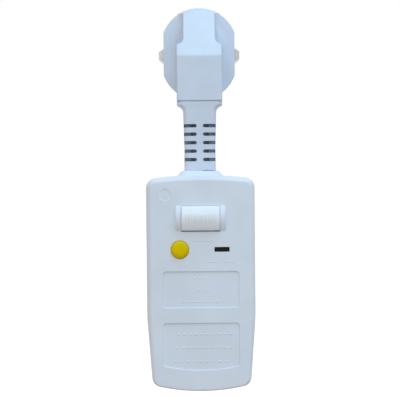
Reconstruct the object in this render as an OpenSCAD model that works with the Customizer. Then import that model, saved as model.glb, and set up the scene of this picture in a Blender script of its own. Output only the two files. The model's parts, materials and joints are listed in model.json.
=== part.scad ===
// Adapter plug with a residual-current trip: a round angled wall plug carries a box on a short slotted
// strain relief, and the box holds the trip mechanism, a circuit board and the outlet terminals.
// X is right seen from the front, Y points into the wall and Z is up. Sizes are millimetres.
// The origin is the middle of the plug's contact face, between its pins.

/* [Plug] */
// Diameter of each contact pin
pin_d = 4.8; // [4:0.1:5.2]
// Distance between the axes of the pins
pin_pitch = 19; // [18:0.25:20]
// Free length of each pin
pin_l = 19; // [15:0.5:22]
// Diameter of the part that enters the wall socket
plug_d = 36; // [35:0.5:38]
// Width across the flats that carry the earth clips
plug_flats = 31.5; // [30:0.5:33]
// Depth of the plug that enters the wall socket
seat_d = 17.5; // [15:0.5:18.5]
// Depth of the body, from the contact face to the grip wings
nose_d = 24; // [21:0.5:27]
// Height of the grip behind the socket face
grip_h = 40.6; // [38.5:0.2:44]
// Radius of the grip's upper and lower ends
grip_r = 16.8; // [16:0.1:18]
// Depth of the grip bar's ridge behind the contact face
ridge_d = 42.5; // [42.5:0.5:45]
// Depth of the grip bar's upper end behind the contact face
crest_d = 29; // [28:0.5:33]
// Depth of the neck's wall side behind the contact face
neck_d = 26; // [23:0.5:26.5]
// Height of the ridge line below the pins' middle
ridge_drop = 2.5; // [0:0.5:6]
// Height of the bar's lower end below the pins' middle
bar_drop = 22.2; // [21.5:0.1:23]
// Width of the grip bar
bar_w = 19.6; // [18:0.2:21]
// Width of the bar's narrow upper end
bar_top_w = 14; // [11:0.5:16]
// Height of the bar's shoulders above the pins' middle
shoulder_z = 2.6; // [0:0.2:6]
// How far the bar's rounded top lies below the grip's
bar_fall = 0.8; // [0.4:0.1:1.4]
// Radius where the wings run into the bar
wing_r = 3; // [1.5:0.25:3.5]
// Diameter of the plate that holds the pins
bridge_d = 27; // [26:0.5:28]
// Thickness of the plate that holds the pins
bridge_t = 4; // [3:0.25:6]
// Width of the guide grooves above and below the pins
groove_w = 5; // [4:0.25:7]
// Depth of the guide grooves
groove_d = 2.6; // [2:0.1:3]
// Bore of the earth socket
earth_d = 5; // [4.5:0.1:5.4]
// Distance of the earth socket from the plug's middle
earth_x = 9.6; // [9:0.1:9.8]
// Width of each earth clip at its feet
clip_w = 6.4; // [5:0.25:7]
// Width of each earth clip at its crown
clip_top_w = 3.4; // [2.5:0.1:4]
// Height of each earth clip above its flat
clip_h = 2.3; // [1.5:0.1:3]
// Thickness of the earth strip
clip_t = 0.6; // [0.4:0.1:0.8]

/* [Strain relief] */
// Width of the strain relief at its lower end
boot_w = 14; // [13:0.2:15]
// Width of the strain relief below its head
boot_top_w = 14.6; // [14:0.2:16]
// Depth of the strain relief
boot_d = 13; // [12:0.2:14]
// Height of the head that meets the plug
head_h = 1.5; // [1:0.25:3]
// Height of the flare below the head
flare_h = 3; // [1.5:0.25:4]
// Rows of slots
slot_rows = 5; // [2:1:5]
// Distance between rows of slots
slot_pitch = 3.67; // [3:0.01:3.8]
// Height of each slot
slot_h = 1.45; // [1:0.05:1.9]
// Distance of the first row below the plug
slot_drop = 10.8; // [9:0.2:12]
// Width of the webs between the slots
web_w = 3; // [2:0.2:4.5]
// Thickness of the wall that closes each slot at its outer end
slot_wall = 0.5; // [0.4:0.1:1]
// Diameter of the flex inside the strain relief
sheath_d = 7.8; // [7:0.1:8.2]

/* [Box] */
// Height of the box's top below the pins' middle
box_drop = 54.2; // [53.5:0.1:58]
// Height of the box
box_h = 92.3; // [91.5:0.1:100]
// Width of the box
box_w = 47; // [42:0.5:52]
// Depth of the box
box_d = 32; // [31.5:0.25:34]
// Depth of the rear cover
rear_d = 16; // [15.5:0.25:16.5]
// Gap between the box and the wall
wall_gap = 1; // [0.5:0.25:2]
// Wall thickness of both covers
wall = 2; // [1.6:0.1:2.2]
// Radius of the long edges of the box
edge_r = 2.5; // [1.5:0.25:3]
// Radius of the four corners of the box
corner_r = 4.5; // [4:0.25:6]
// Radius of the arched top
top_arc_r = 190; // [150:2:260]
// Radius of the arched lower end
end_arc_r = 83; // [75:1:120]
// Radius of the sides where they start to draw in
side_arc_r = 100; // [60:5:160]
// Angle of the sides where they draw in
side_taper = 4.3; // [1:0.1:5]
// Height below the box's top where the sides start to draw in
waist_drop = 56.5; // [45:0.5:65]
// Inward slope of the sides, over the depth of each cover
draft = 0.4; // [0:0.1:0.6]
// Height of the collar round the strain relief
collar_h = 2.1; // [1.5:0.1:3]
// Width of the collar where it leaves the box
collar_w = 19.8; // [18:0.2:22]
// Width of the collar's upper rim
collar_top_w = 15.6; // [15.2:0.1:17]
// Diameter of the outlet flex that the bush lets in
cord_d = 8; // [6.5:0.25:8.5]
// Wall of the cord bush round the flex
bush_t = 1.1; // [0.8:0.1:1.5]

/* [Front] */
// Height of the reset key's middle below the box's top
key_drop = 18.5; // [18:0.1:19]
// Width of the reset key
key_w = 16.4; // [14:0.2:18]
// Height of the reset key
key_h = 10.5; // [9:0.25:11]
// Rise of the reset key over the front
key_rise = 3; // [2.8:0.1:4]
// Rise of the crown on the reset key
key_crown = 2; // [1:0.1:2.4]
// Width of the cheeks beside the key
cheek_w = 2.2; // [1:0.1:3]
// Rise of the cheeks over the front
cheek_rise = 2; // [1:0.1:2.6]
// Height of the test button and the window below the box's top
lamp_drop = 31.8; // [31.4:0.1:32.6]
// Distance of the test button from the middle
test_x = 8.9; // [8:0.1:9]
// Diameter of the test button
test_d = 7.4; // [6:0.1:8]
// Rise of the test button over the front
test_rise = 1.6; // [1.1:0.1:2]
// Distance of the window from the middle
window_x = 9; // [8.5:0.1:9.5]
// Width of the window
window_w = 6.3; // [5:0.1:7]
// Height of the window
window_h = 1.9; // [1.5:0.1:3]
// Width of the two sunk panels
panel_w = 32.3; // [28:0.1:36]
// Corner radius of the sunk panels
panel_r = 1.3; // [0.8:0.1:3]
// Depth of the sunk panels
panel_d = 0.5; // [0.2:0.05:0.8]
// Height of the upper panel's top below the box's top
panel_a_drop = 41; // [39:0.2:43]
// Height of the upper panel
panel_a_h = 15.4; // [12:0.1:18]
// Height of the lower panel's top below the box's top
panel_b_drop = 62.8; // [62:0.1:66]
// Height of the lower panel
panel_b_h = 20; // [16:0.2:21.4]
// Radius of the lower panel's arched end
panel_arc_r = 72; // [65:1:120]

/* [Mechanism] */
// Travel of the reset key and the contact carriage
press_travel = 2; // [1:0.1:2.2]
// Travel of the trip plunger and the latch plate
trip_travel = 0.85; // [0.6:0.05:0.9]
// Travel of the test button
test_travel = 0.9; // [0.5:0.05:1]
// Diameter of the reset key's stem
stem_d = 4; // [3.4:0.1:4.2]
// Diameter of the stem's neck that the latch plate holds
neck_w = 2.2; // [1.6:0.1:2.4]
// Thickness of the latch plate
latch_t = 0.8; // [0.6:0.1:1.2]
// Place of the guide posts, as a share of the board's width from the middle
guide_share = 0.154; // [0.15:0.001:0.158]
// Diameter of the guide posts
guide_d = 2.4; // [2:0.1:2.6]
// Thickness of the contact strips
strip_t = 0.8; // [0.5:0.1:1]
// Height of the contact tips
tip_h = 0.7; // [0.4:0.1:0.9]
// Diameter of the contact tips
tip_d = 2.6; // [2:0.1:3]
// Place of the incoming contacts, as a share of the board's width from the middle
feed_share = 0.264; // [0.262:0.001:0.271]
// Place of the outgoing contacts, as a share of the board's width from the middle
load_share = 0.377; // [0.372:0.001:0.379]
// Outer diameter of the trip coil
coil_d = 12; // [10:0.25:12.25]
// Length of the coil bobbin
bobbin_l = 16; // [13:0.5:16.5]
// Diameter of the plunger
plunger_d = 4.3; // [3.4:0.1:4.6]
// Diameter of the plunger's push pin
pusher_d = 2; // [1.5:0.1:2.2]

/* [Board and terminals] */
// Gap between the circuit board and the side walls
board_clear = 1.6; // [1:0.1:1.8]
// Thickness of the circuit board
board_t = 1.6; // [1:0.1:2]
// Height of the posts under the circuit board
board_gap = 3.9; // [3:0.1:4]
// Outer diameter of the sensing core
core_d = 18; // [15:0.5:18.5]
// Bore of the sensing core
core_bore = 8.4; // [7.5:0.1:9.5]
// Thickness of the sensing core
core_t = 7; // [5:0.25:7.5]
// Distance between the outlet clamps, as a share of the board's width
clamp_share = 0.308; // [0.296:0.001:0.317]
// Width of each outlet clamp
clamp_w = 6.4; // [6:0.1:7]
// Diameter of the cores
wire_d = 2.2; // [1.6:0.1:2.4]

/* [Fits] */
// Gap round the keys in the cover
key_gap = 0.15; // [0.1:0.01:0.25]
// Radial clearance of sliding pieces
slide_gap = 0.1; // [0.05:0.01:0.1]
// Gap between pieces that are assembled
seat_gap = 0.1; // [0.05:0.01:0.2]

/* [Hidden] */

$fn = 64;
// Thickness of the thin layers that span rounded forms
skin = 0.02;
// How far cutting bodies reach past what they cut
over = 0.5;

// Levels along Y
back_y = -(seat_d + wall_gap);
front_y = back_y - box_d;
part_y = back_y - rear_d;
floor_y = back_y - wall;
ceiling_y = front_y + wall;
board_back_y = floor_y - board_gap;
board_y = board_back_y - board_t;

// Heights along Z
top_z = -box_drop;
end_z = top_z - box_h;
waist_z = top_z - waist_drop;
key_z = top_z - key_drop;
lamp_z = top_z - lamp_drop;

// Places along X, from the inside of the box
board_w = box_w - 2 * (wall + draft + board_clear);
guide_x = guide_share * board_w;
feed_x = feed_share * board_w;
load_x = load_share * board_w;
clamp_pitch = clamp_share * board_w;

// The right side of the box from the waist down: an arc, then a straight run
side_arc = [for (i = [0 : 5])
    let (a = i * side_taper / 5)
        [box_w / 2 - side_arc_r * (1 - cos(a)), waist_z - side_arc_r * sin(a)]];
side_end = [side_arc[5][0] - (side_arc[5][1] - end_z) * tan(side_taper), end_z];
side_run = concat(side_arc, [side_end]);

// Rim of the earth strap round the earth socket
strap_rim = 1;
clip_foot = 1.2;
clip_back = 0.6;

// Contact pins: a collar in the plate, a thinner tail behind it and a tapered tip
pin_r = pin_d / 2;
collar_rim = 0.4;
tail_r = pin_r - 0.5;
tail_l = 8;
tip_l = 1.2;
tip_in = 1;

// Flex and strain relief
sheath_r = sheath_d / 2;
sheath_in = 7;
flange_t = 2;
flange_w = boot_w + 3.4;
flange_d = boot_d + 3.4;
rest_gap = 0.6;
flange_z = top_z - wall - rest_gap;
rib_t = 1.2;
rib_half = 11.5;
sheath_end_z = flange_z - flange_t - rib_t - 0.4;
boot_r = 2;
boot_run = 16;
head_d = 2 * (ridge_d + part_y) - 1.2;

// Cover screws
boss_in = 3.5;
boss_r = 3.4;
boss_x = box_w / 2 - boss_r - boss_in;
screw_r = 1.3;
screw_head_r = 2.7;
screw_head_h = 2.2;
screw_sink = 8;
screw_l = 16;
boss_zs = [top_z - 7.8, end_z + 8.6];

// Reset key and carriage
key_flange_t = 1.5;
key_under_y = ceiling_y + 2 * seat_gap + key_flange_t;
stem_r = stem_d / 2;
plate_y = key_under_y + press_travel + 1.3;
plate_t = 2;
strip_y = plate_y + plate_t;
closed_y = strip_y + strip_t + tip_h;
bar_t = 0.9;
carriage_y = closed_y + tip_h + bar_t;
cross_t = 3.5;
cross_h = 8;
boss_back_y = carriage_y + cross_t + 4.3;
latch_y = carriage_y + cross_t + 1.8;
latch_in = 0.8;
latch_w = 2 * (guide_x - guide_d / 2 - latch_in);
latch_gap = 0.1;
latch_hole_r = stem_r + 0.15;
stem_head_y = latch_y + latch_t + 0.15;
frame_half = 5.2;
leg_share = 0.441;
leg_in = leg_share * board_w;
leg_out = board_w / 2 - 0.1;
strip_share = 0.087;
strip_w = strip_share * board_w;
feed_top_z = key_z + frame_half + 2.6;
load_end_z = key_z - frame_half - 2.2;

// Trip coil
coil_y = latch_y + latch_t / 2;
flange_r = coil_d / 2 + 0.4;
flange_1 = 1;
coil_gap = 0.3;
latch_tail_z = key_z - 7.4;
yoke_t = 0.8;
coil_top_z = latch_tail_z - 1.5 - yoke_t;
coil_end_z = coil_top_z - bobbin_l;
core_r = plunger_d / 2 + 1;
plunger_r = plunger_d / 2;
plunger_top_z = coil_top_z - 5.5;
plunger_end_z = coil_end_z - yoke_t - 0.4;
stop_z = coil_top_z - flange_1;

// Test contact
leaf_t = 0.4;
leaf_w = 3.6;
button_under_y = ceiling_y + 2 * seat_gap + 1.1;
test_stem_y = button_under_y + 2.6;
leaf_y = test_stem_y + 0.3;
leaf_x = -test_x - 0.7;
leaf_end_z = lamp_z - 9.8;

// Board and terminals
board_top_z = key_z + frame_half + 0.3;
block_drop = 32;
block_top_z = lamp_z - block_drop;
block_h = 10;
block_end_z = block_top_z - block_h;
board_end_z = block_end_z - 0.2;
block_d = 11;
block_y = board_y - block_d;
block_margin = 2.4;
block_rim = 1.2;
block_floor = 3.5;
clamp_sink = 0.5;
clamp_floor = 1;
bore_gap = 0.8;
clamp_back_y = board_y - block_floor;
clamp_front_y = block_y + clamp_sink;
clamp_bore = wire_d / 2 + bore_gap;
clamp_bore_y = clamp_back_y - clamp_floor - clamp_bore;
core_drop = 23.4;
core_z = lamp_z - core_drop;
core_y = board_y - core_d / 2;
core_foot = 5;
post_in = 3;
post_r = 2.4;
peg_r = 1.2;
post_x = board_w / 2 - post_in;
post_zs = [board_top_z - 13.8, board_end_z + 13.4];

// Small screws of the clamps and the cord bar
clamp_screw_r = 1.3;
clamp_head_r = 2.3;
clamp_head_h = 1.6;
clamp_screw_drop = 1.4;
clamp_screw_z = block_end_z + block_h / 2 - clamp_screw_drop;
bar_screw_r = 1.2;
bar_head_r = 2.4;
bar_head_h = 1.6;
bar_screw_l = 7;
drive_h = 0.3;
drive_d = 0.8;

// Parts on the board
lead_r = 0.25;
lamp_r = 1.5;
lamp_rim_r = 1.9;
lamp_rim_t = 1;
lamp_l = 3.9;
lamp_gap = 2.6;
lamp_lead_x = 1.1;
varistor_r = 4.5;
varistor_t = 4;
varistor_up = 6;
varistor_gap = 0.8;
varistor_lead_x = 2.5;
cap_w = 6;
cap_h = 10;
cap_d = 8;
cap_gap = 1.4;
cap_up = 3;
chip_w = 4.8;
chip_l = 9.6;
chip_t = 1.8;
chip_rise = 0.4;
chip_leg = 1;
chip_pitch = 2.54;
chip_in = 6.8;
chip_up = 4;
thyristor_r = 2.3;
thyristor_l = 4.6;
thyristor_rise = 2.4;
thyristor_flat = 1.3;
thyristor_pitch = 1.27;
thyristor_in = 5.7;
resistor_r = 1.1;
resistor_l = 5.2;
resistor_up = 1.6;
resistor_span = 7.1;
resistor_pitch = 2.6;

// Cord bar
cord_r = cord_d / 2;
bar_z = block_end_z - 6.6;
bar_half = 3;
bar_in = 6.6;
bar_screw_x = boss_x - bar_in;
bar_seat = 2;
bar_rise = 1.6;
bar_post_r = 2.8;
saddle_gap = 0.1;
bush_z = end_z + wall + rest_gap;
bush_l = 4;
bush_flange_r = cord_r + bush_t + 1.6;

// One flat outline in X and Z, drawn out from a plane towards the front
module slab(y, d) {
    translate([0, y, 0])
        rotate([90, 0, 0])
            linear_extrude(d)
                children();
}

// One flat outline in Y and Z, drawn out along X
module along_x(x, w) {
    translate([x, 0, 0])
        rotate([90, 0, 90])
            linear_extrude(w)
                children();
}

// A round bar along Y
module rod_y(x, z, y0, y1, r) {
    translate([x, y1, z])
        rotate([90, 0, 0])
            cylinder(h = y1 - y0, r = r);
}

// A round bar along Z
module rod_z(x, y, z0, z1, r) {
    translate([x, y, z0])
        cylinder(h = z1 - z0, r = r);
}

// A block between two corners
module block(x0, x1, y0, y1, z0, z1) {
    translate([x0, y0, z0])
        cube([x1 - x0, y1 - y0, z1 - z0]);
}

// The same piece on both sides
module both() {
    children();
    mirror([1, 0, 0])
        children();
}

// A flat rectangle with round corners
module round_rect(w, h, r) {
    offset(r = r)
        square([w - 2 * r, h - 2 * r], center = true);
}

function unit(v) = v / norm(v);

// A closed skin over rings of equal length, listed along their common direction
module loft(rings) {
    n = len(rings[0]);
    m = len(rings);
    points = [for (ring = rings) each ring];
    start = [for (j = [0 : n - 1]) j];
    finish = [for (j = [n - 1 : -1 : 0]) (m - 1) * n + j];
    sides = [for (i = [0 : m - 2])
        for (j = [0 : n - 1])
            let (a = i * n + j, b = i * n + (j + 1) % n)
                each [[a, a + n, b + n], [a, b + n, b]]];
    polyhedron(points = points, faces = concat([start], [finish], sides));
}

// Directions along a path
function heading(path) = [for (i = [0 : len(path) - 1])
    unit(path[min(i + 1, len(path) - 1)] - path[max(i - 1, 0)])];

// A round tube along a path, turned so that its sides follow one reference direction
module tube(path, r, sides, ref) {
    dirs = heading(path);
    rings = [for (i = [0 : len(path) - 1])
        let (u = unit(cross(ref, dirs[i])), v = cross(dirs[i], u))
            [for (k = [0 : sides - 1])
                path[i] + r * (cos(360 * k / sides) * u + sin(360 * k / sides) * v)]];
    loft(rings);
}

// A smooth path through points
function smooth(p, steps) = concat(
    [for (i = [0 : len(p) - 2])
        for (s = [0 : steps - 1])
            let (t = s / steps, a = p[max(i - 1, 0)], b = p[i], c = p[i + 1], d = p[min(i + 2, len(p) - 1)])
                b + 0.5 * t * ((c - a) + t * ((2 * a - 5 * b + 4 * c - d) + t * (3 * b - a - 3 * c + d)))],
    [p[len(p) - 1]]);

// An insulated core along a smooth path
module wire(points) {
    tube(smooth(points, 4), wire_d / 2, 8, [0.6, -0.8, 0]);
}

// A coil spring along Y or Z between two seats
function coil_path(turns, r, span) = [for (i = [0 : 14 * turns])
    [r * cos(360 * i / 14), r * sin(360 * i / 14), span * i / (14 * turns)]];

module coil_spring(turns, r, wire_r, span) {
    path = [for (p = coil_path(turns, r, span - 2 * wire_r)) p + [0, 0, wire_r]];
    tube(path, wire_r, 6, [0, 0, 1]);
}

// Plug

// The part that enters the socket, with its two flats
module plug_outline() {
    intersection() {
        circle(d = plug_d);
        square([plug_flats, plug_d + 2], center = true);
    }
}

// The grip, longer than the part that enters the socket
module grip_outline() {
    rise = grip_h / 2 - grip_r;
    intersection() {
        union() {
            translate([0, rise])
                circle(r = grip_r);
            translate([0, -rise])
                circle(r = grip_r);
            square([2 * grip_r, 2 * rise], center = true);
        }
        square([plug_flats, grip_h + 2], center = true);
    }
}

// The bar with its shoulders
module bar_outline() {
    f = (bar_w - bar_top_w) / 2;
    intersection() {
        union() {
            translate([-bar_w / 2, -bar_drop])
                square([bar_w, bar_drop + shoulder_z]);
            translate([-bar_top_w / 2, 0])
                square([bar_top_w, grip_h]);
            difference() {
                translate([-bar_w / 2, shoulder_z - over])
                    square([bar_w, f + over]);
                for (s = [-1, 1])
                    translate([s * bar_w / 2, shoulder_z + f])
                        circle(r = f);
            }
        }
        union() {
            circle(r = grip_h / 2 - bar_fall);
            translate([-grip_h / 2, -grip_h])
                square([grip_h, grip_h]);
        }
    }
}

// The bar seen from the side
module bar_side() {
    crest_z = grip_h / 2 - bar_fall;
    polygon([[-nose_d + 4, crest_z + 1], [-crest_d, crest_z + 1], [-crest_d, crest_z],
        [-ridge_d, -ridge_drop], [-ridge_d, -bar_drop],
        [-neck_d, -bar_drop], [-neck_d, 2 - grip_h / 2], [-nose_d + 4, 2 - grip_h / 2]]);
}

// The hollow curve between a wing and the bar
module wing_curve(x, z0, z1) {
    translate([0, 0, z0])
        linear_extrude(z1 - z0)
            difference() {
                translate([x - over, -nose_d - wing_r])
                    square([wing_r + over, wing_r + over]);
                translate([x + wing_r, -nose_d - wing_r])
                    circle(r = wing_r);
            }
}

// Section of an earth clip
module clip_form() {
    x = plug_flats / 2;
    half = clip_w / 2;
    top = clip_top_w / 2;
    polygon([[x - clip_foot, half], [x, half], [x + clip_h, top], [x + clip_h, -top], [x, -half],
        [x - clip_foot, -half]]);
}

module clip_outline() {
    x = plug_flats / 2;
    foot = clip_foot;
    half = clip_w / 2;
    top = clip_top_w / 2;
    difference() {
        clip_form();
        polygon([[x - foot - 1, half - clip_t], [x, half - clip_t], [x + clip_h - clip_t, top - clip_t / 2],
            [x + clip_h - clip_t, clip_t / 2 - top], [x, clip_t - half], [x - foot - 1, clip_t - half]]);
    }
}

module earth_strap() {
    x = plug_flats / 2;
    color("silver") {
        difference() {
            slab(-bridge_t, clip_t) {
                square([plug_flats, clip_w], center = true);
                translate([earth_x, 0])
                    circle(r = earth_d / 2 + clip_t + strap_rim);
            }
            rod_y(earth_x, 0, -bridge_t - 2, -bridge_t + 1, earth_d / 2 + clip_t);
        }
        both()
            intersection() {
                union() {
                    slab(-bridge_t, seat_d - bridge_t - clip_back)
                        clip_outline();
                    slab(clip_t + clip_back - seat_d, clip_t)
                        clip_form();
                }
                translate([0, 0, -clip_w])
                    linear_extrude(2 * clip_w)
                        polygon([[0, -bridge_t], [x + 0.7, -bridge_t], [x + clip_h, -bridge_t - 4],
                            [x + clip_h, -seat_d], [0, -seat_d]]);
            }
    }
}

module plug_body() {
    color("gainsboro")
        difference() {
            union() {
                slab(0, seat_d + over)
                    plug_outline();
                slab(-seat_d, nose_d - seat_d)
                    grip_outline();
                intersection() {
                    slab(-nose_d + 4, ridge_d)
                        bar_outline();
                    along_x(-grip_h, 2 * grip_h)
                        bar_side();
                }
                intersection() {
                    slab(-nose_d + over, wing_r + over)
                        grip_outline();
                    both() {
                        wing_curve(bar_w / 2, -grip_h, shoulder_z);
                        wing_curve(bar_top_w / 2, shoulder_z + 1, grip_h);
                    }
                }
            }
            slab(over, bridge_t + over)
                circle(d = bridge_d);
            earth_strap();
            rod_y(earth_x, 0, -seat_d + 1.5, over, earth_d / 2 + clip_t);
            for (s = [-1, 1]) {
                rod_y(0, s * pin_pitch / 2, -bridge_t - tail_l, over, tail_r);
                block(-groove_w / 2, groove_w / 2, -seat_d, over,
                    s > 0 ? plug_d / 2 - groove_d : -plug_d, s > 0 ? plug_d : groove_d - plug_d / 2);
            }
            rod_z(0, part_y, -bar_drop - over, sheath_in - bar_drop, sheath_r);
        }
}

module pin_bridge() {
    color("dimgray")
        difference() {
            slab(0, bridge_t)
                circle(d = bridge_d);
            for (s = [-1, 1])
                rod_y(0, s * pin_pitch / 2, -bridge_t - 1, over, pin_r + collar_rim);
            rod_y(earth_x, 0, -bridge_t - 1, -1.2, earth_d / 2 + clip_t);
            rod_y(earth_x, 0, -2, over, earth_d / 2 + 0.2);
        }
}

module contact_pin(s) {
    color("goldenrod")
        translate([0, 0, s * pin_pitch / 2]) {
            rod_y(0, 0, -bridge_t, 0, pin_r + collar_rim);
            rod_y(0, 0, -bridge_t / 2, pin_l - tip_l, pin_r);
            rod_y(0, 0, -bridge_t - tail_l, -bridge_t + over, tail_r);
            translate([0, pin_l - tip_l, 0])
                rotate([-90, 0, 0])
                    cylinder(h = tip_l, r1 = pin_r, r2 = pin_r - tip_in);
        }
}

module live_pin() {
    contact_pin(1);
}

module neutral_pin() {
    contact_pin(-1);
}

module earth_socket() {
    color("silver")
        difference() {
            rod_y(earth_x, 0, -seat_d + 1.5, -1.2, earth_d / 2 + clip_t);
            rod_y(earth_x, 0, -seat_d + 2.5, over, earth_d / 2);
        }
}

// Strain relief

// A rounded rectangle across the flex
function boot_ring(z, w, d, r) = [for (q = [0 : 3])
    for (i = [0 : 5])
        let (a = 90 * q + 18 * i,
            cx = (q == 0 || q == 3) ? w / 2 - r : r - w / 2,
            cy = q < 2 ? d / 2 - r : r - d / 2)
            [cx + r * cos(a), part_y + cy + r * sin(a), z]];

module strain_relief() {
    head_z = -bar_drop - head_h;
    flare = [for (a = [0 : 10 : 60]) [(1 - cos(a)) / (1 - cos(60)), sin(a) / sin(60)]];
    rings = concat(
        [boot_ring(flange_z - flange_t / 2, boot_w, boot_d, boot_r)],
        [boot_ring(top_z + collar_h, boot_w, boot_d, boot_r)],
        [boot_ring(head_z - flare_h - boot_run, boot_w - 0.2, boot_d, boot_r)],
        [for (f = flare) boot_ring(head_z - flare_h * (1 - f[1]), boot_top_w + (bar_w - boot_top_w) * f[0],
            boot_d + (head_d - boot_d) * (boot_run + flare_h * f[1]) / (boot_run + flare_h), boot_r)],
        [boot_ring(-bar_drop, bar_w, head_d, boot_r)]);
    color("gainsboro")
        difference() {
            union() {
                loft(rings);
                block(-flange_w / 2, flange_w / 2, part_y - flange_d / 2, part_y + flange_d / 2,
                    flange_z - flange_t, flange_z);
            }
            rod_z(0, part_y, flange_z - flange_t - over, over - bar_drop, sheath_r + seat_gap);
            for (i = [0 : slot_rows - 1])
                boot_slots(-bar_drop - slot_drop - i * slot_pitch);
        }
}

// One row of slots, closed at the sides by thin walls
module boot_slots(z) {
    slot_l = boot_w / 2 - slot_wall - (web_w + slot_h) / 2;
    for (sx = [-1, 1])
        for (sy = [-1, 1])
            translate([0, part_y, z])
                scale([sx, sy, 1])
                    translate([0, web_w / 2 + boot_d, 0])
                        slab(0, boot_d) {
                            translate([(web_w + slot_h) / 2, 0])
                                circle(d = slot_h, $fn = 24);
                            translate([(web_w + slot_h) / 2, -slot_h / 2])
                                square([slot_l, slot_h]);
                        }
}

module flex_sheath() {
    color("darkslategray")
        rod_z(0, part_y, sheath_end_z, sheath_in - bar_drop, sheath_r);
}

// Covers

// The box seen from the front, drawn in by an inset
module box_outline(inset) {
    offset(r = corner_r - inset, $fn = 40)
        offset(delta = -corner_r)
            intersection() {
                translate([0, top_z - top_arc_r])
                    circle(r = top_arc_r, $fn = 240);
                translate([0, end_z + end_arc_r])
                    circle(r = end_arc_r, $fn = 180);
                polygon(concat([[-box_w / 2, top_z], [box_w / 2, top_z]], side_run,
                    [for (i = [len(side_run) - 1 : -1 : 0]) [-side_run[i][0], side_run[i][1]]]));
            }
}

// Half of the box between the joint plane and an outer face, with rounded edges
module half_form(outer_y, inset, r) {
    s = outer_y < part_y ? 1 : -1;
    hull() {
        slab(s > 0 ? part_y : part_y + skin, skin)
            box_outline(inset);
        for (a = [0 : 18 : 90])
            slab(outer_y + s * r * (1 - sin(a)) + (s > 0 ? skin : 0), skin)
                box_outline(inset + draft + r * (1 - cos(a)));
    }
}

// The collar round the strain relief, whole
module collar_form() {
    hull() {
        translate([0, part_y, top_z - 1])
            linear_extrude(skin)
                round_rect(collar_w + 1.6, boot_d + collar_w - boot_w + 1.6, 3, $fn = 32);
        translate([0, part_y, top_z - 0.2])
            linear_extrude(skin)
                round_rect(collar_w, boot_d + collar_w - boot_w, 3, $fn = 32);
        translate([0, part_y, top_z + collar_h - skin])
            linear_extrude(skin)
                round_rect(collar_top_w, boot_d + collar_top_w - boot_w, 2.4, $fn = 32);
    }
}

// The passage of the strain relief through the collar and the top wall
module boot_passage() {
    translate([0, part_y, top_z - wall - 2])
        linear_extrude(wall + collar_h + 3)
            round_rect(boot_w + 4 * seat_gap, boot_d + 4 * seat_gap, boot_r + 2 * seat_gap, $fn = 32);
}

// Inner ribs that hold the flange of the strain relief and of the bush
module hold_ribs() {
    for (z = [flange_z - flange_t - 2 * seat_gap - rib_t, bush_z + bush_l + seat_gap])
        block(-rib_half, rib_half, front_y + wall / 2, back_y - wall / 2, z, z + rib_t);
}

// What the flex, the bush and the ribs' openings take out of both covers
module cord_ways() {
    boot_passage();
    rod_z(0, part_y, flange_z - flange_t - 3, flange_z - flange_t, sheath_r + 0.4);
    rod_z(0, part_y, end_z - over, end_z + wall + 1, cord_r + bush_t + seat_gap);
    rod_z(0, part_y, bush_z + bush_l - 1, bush_z + bush_l + 3, cord_r + 0.5);
}

// Everything in front of the joint plane
module front_side() {
    block(-box_w, box_w, front_y - 10, part_y, end_z - 10, top_z + 10);
}

// Everything behind the joint plane
module rear_side() {
    block(-box_w, box_w, part_y, back_y + 10, end_z - 10, top_z + 10);
}

module boss_places() {
    for (s = [-1, 1])
        for (z = boss_zs)
            translate([s * boss_x, 0, z])
                children();
}

// The crowned bar shape of the key and its cheeks
module crown_side(h, rise, crown, depth) {
    r = (h * h / 4 + crown * crown) / (2 * crown);
    intersection() {
        translate([front_y - rise + r, key_z])
            circle(r = r, $fn = 96);
        translate([front_y - rise - 1, key_z - h / 2])
            square([rise + 1 + depth, h]);
    }
}

module panel_a() {
    translate([0, top_z - panel_a_drop - panel_a_h / 2])
        round_rect(panel_w, panel_a_h, panel_r, $fn = 32);
}

module panel_b() {
    offset(r = panel_r, $fn = 32)
        offset(delta = -panel_r)
            intersection() {
                translate([-panel_w / 2, top_z - panel_b_drop - panel_b_h])
                    square([panel_w, panel_b_h]);
                translate([0, top_z - panel_b_drop - panel_b_h + panel_arc_r])
                    circle(r = panel_arc_r, $fn = 180);
            }
}

module front_cover() {
    color("gainsboro")
        difference() {
            union() {
                difference() {
                    union() {
                        half_form(front_y, 0, edge_r);
                        intersection() {
                            collar_form();
                            front_side();
                        }
                    }
                    translate([0, over, 0])
                        half_form(ceiling_y - over, wall, edge_r - 1);
                }
                both()
                    along_x(key_w / 2 + key_gap, cheek_w)
                        crown_side(key_h + 2 * key_gap, cheek_rise, cheek_rise, wall / 2);
                boss_places()
                    rod_y(0, 0, ceiling_y - over, part_y, boss_r);
                intersection() {
                    hold_ribs();
                    front_side();
                }
            }
            cord_ways();
            boss_places()
                rod_y(0, 0, part_y - rear_d + screw_sink - 1, part_y + over, screw_r);
            block(-key_w / 2 - key_gap, key_w / 2 + key_gap, front_y - 10, ceiling_y + over,
                key_z - key_h / 2 - key_gap, key_z + key_h / 2 + key_gap);
            rod_y(-test_x, lamp_z, front_y - over, ceiling_y + over, test_d / 2 + key_gap);
            block(window_x - window_w / 2 - seat_gap / 2, window_x + window_w / 2 + seat_gap / 2,
                front_y - over, ceiling_y + over,
                lamp_z - window_h / 2 - seat_gap / 2, lamp_z + window_h / 2 + seat_gap / 2);
            slab(front_y + panel_d, panel_d + over) {
                panel_a();
                panel_b();
            }
        }
}

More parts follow.
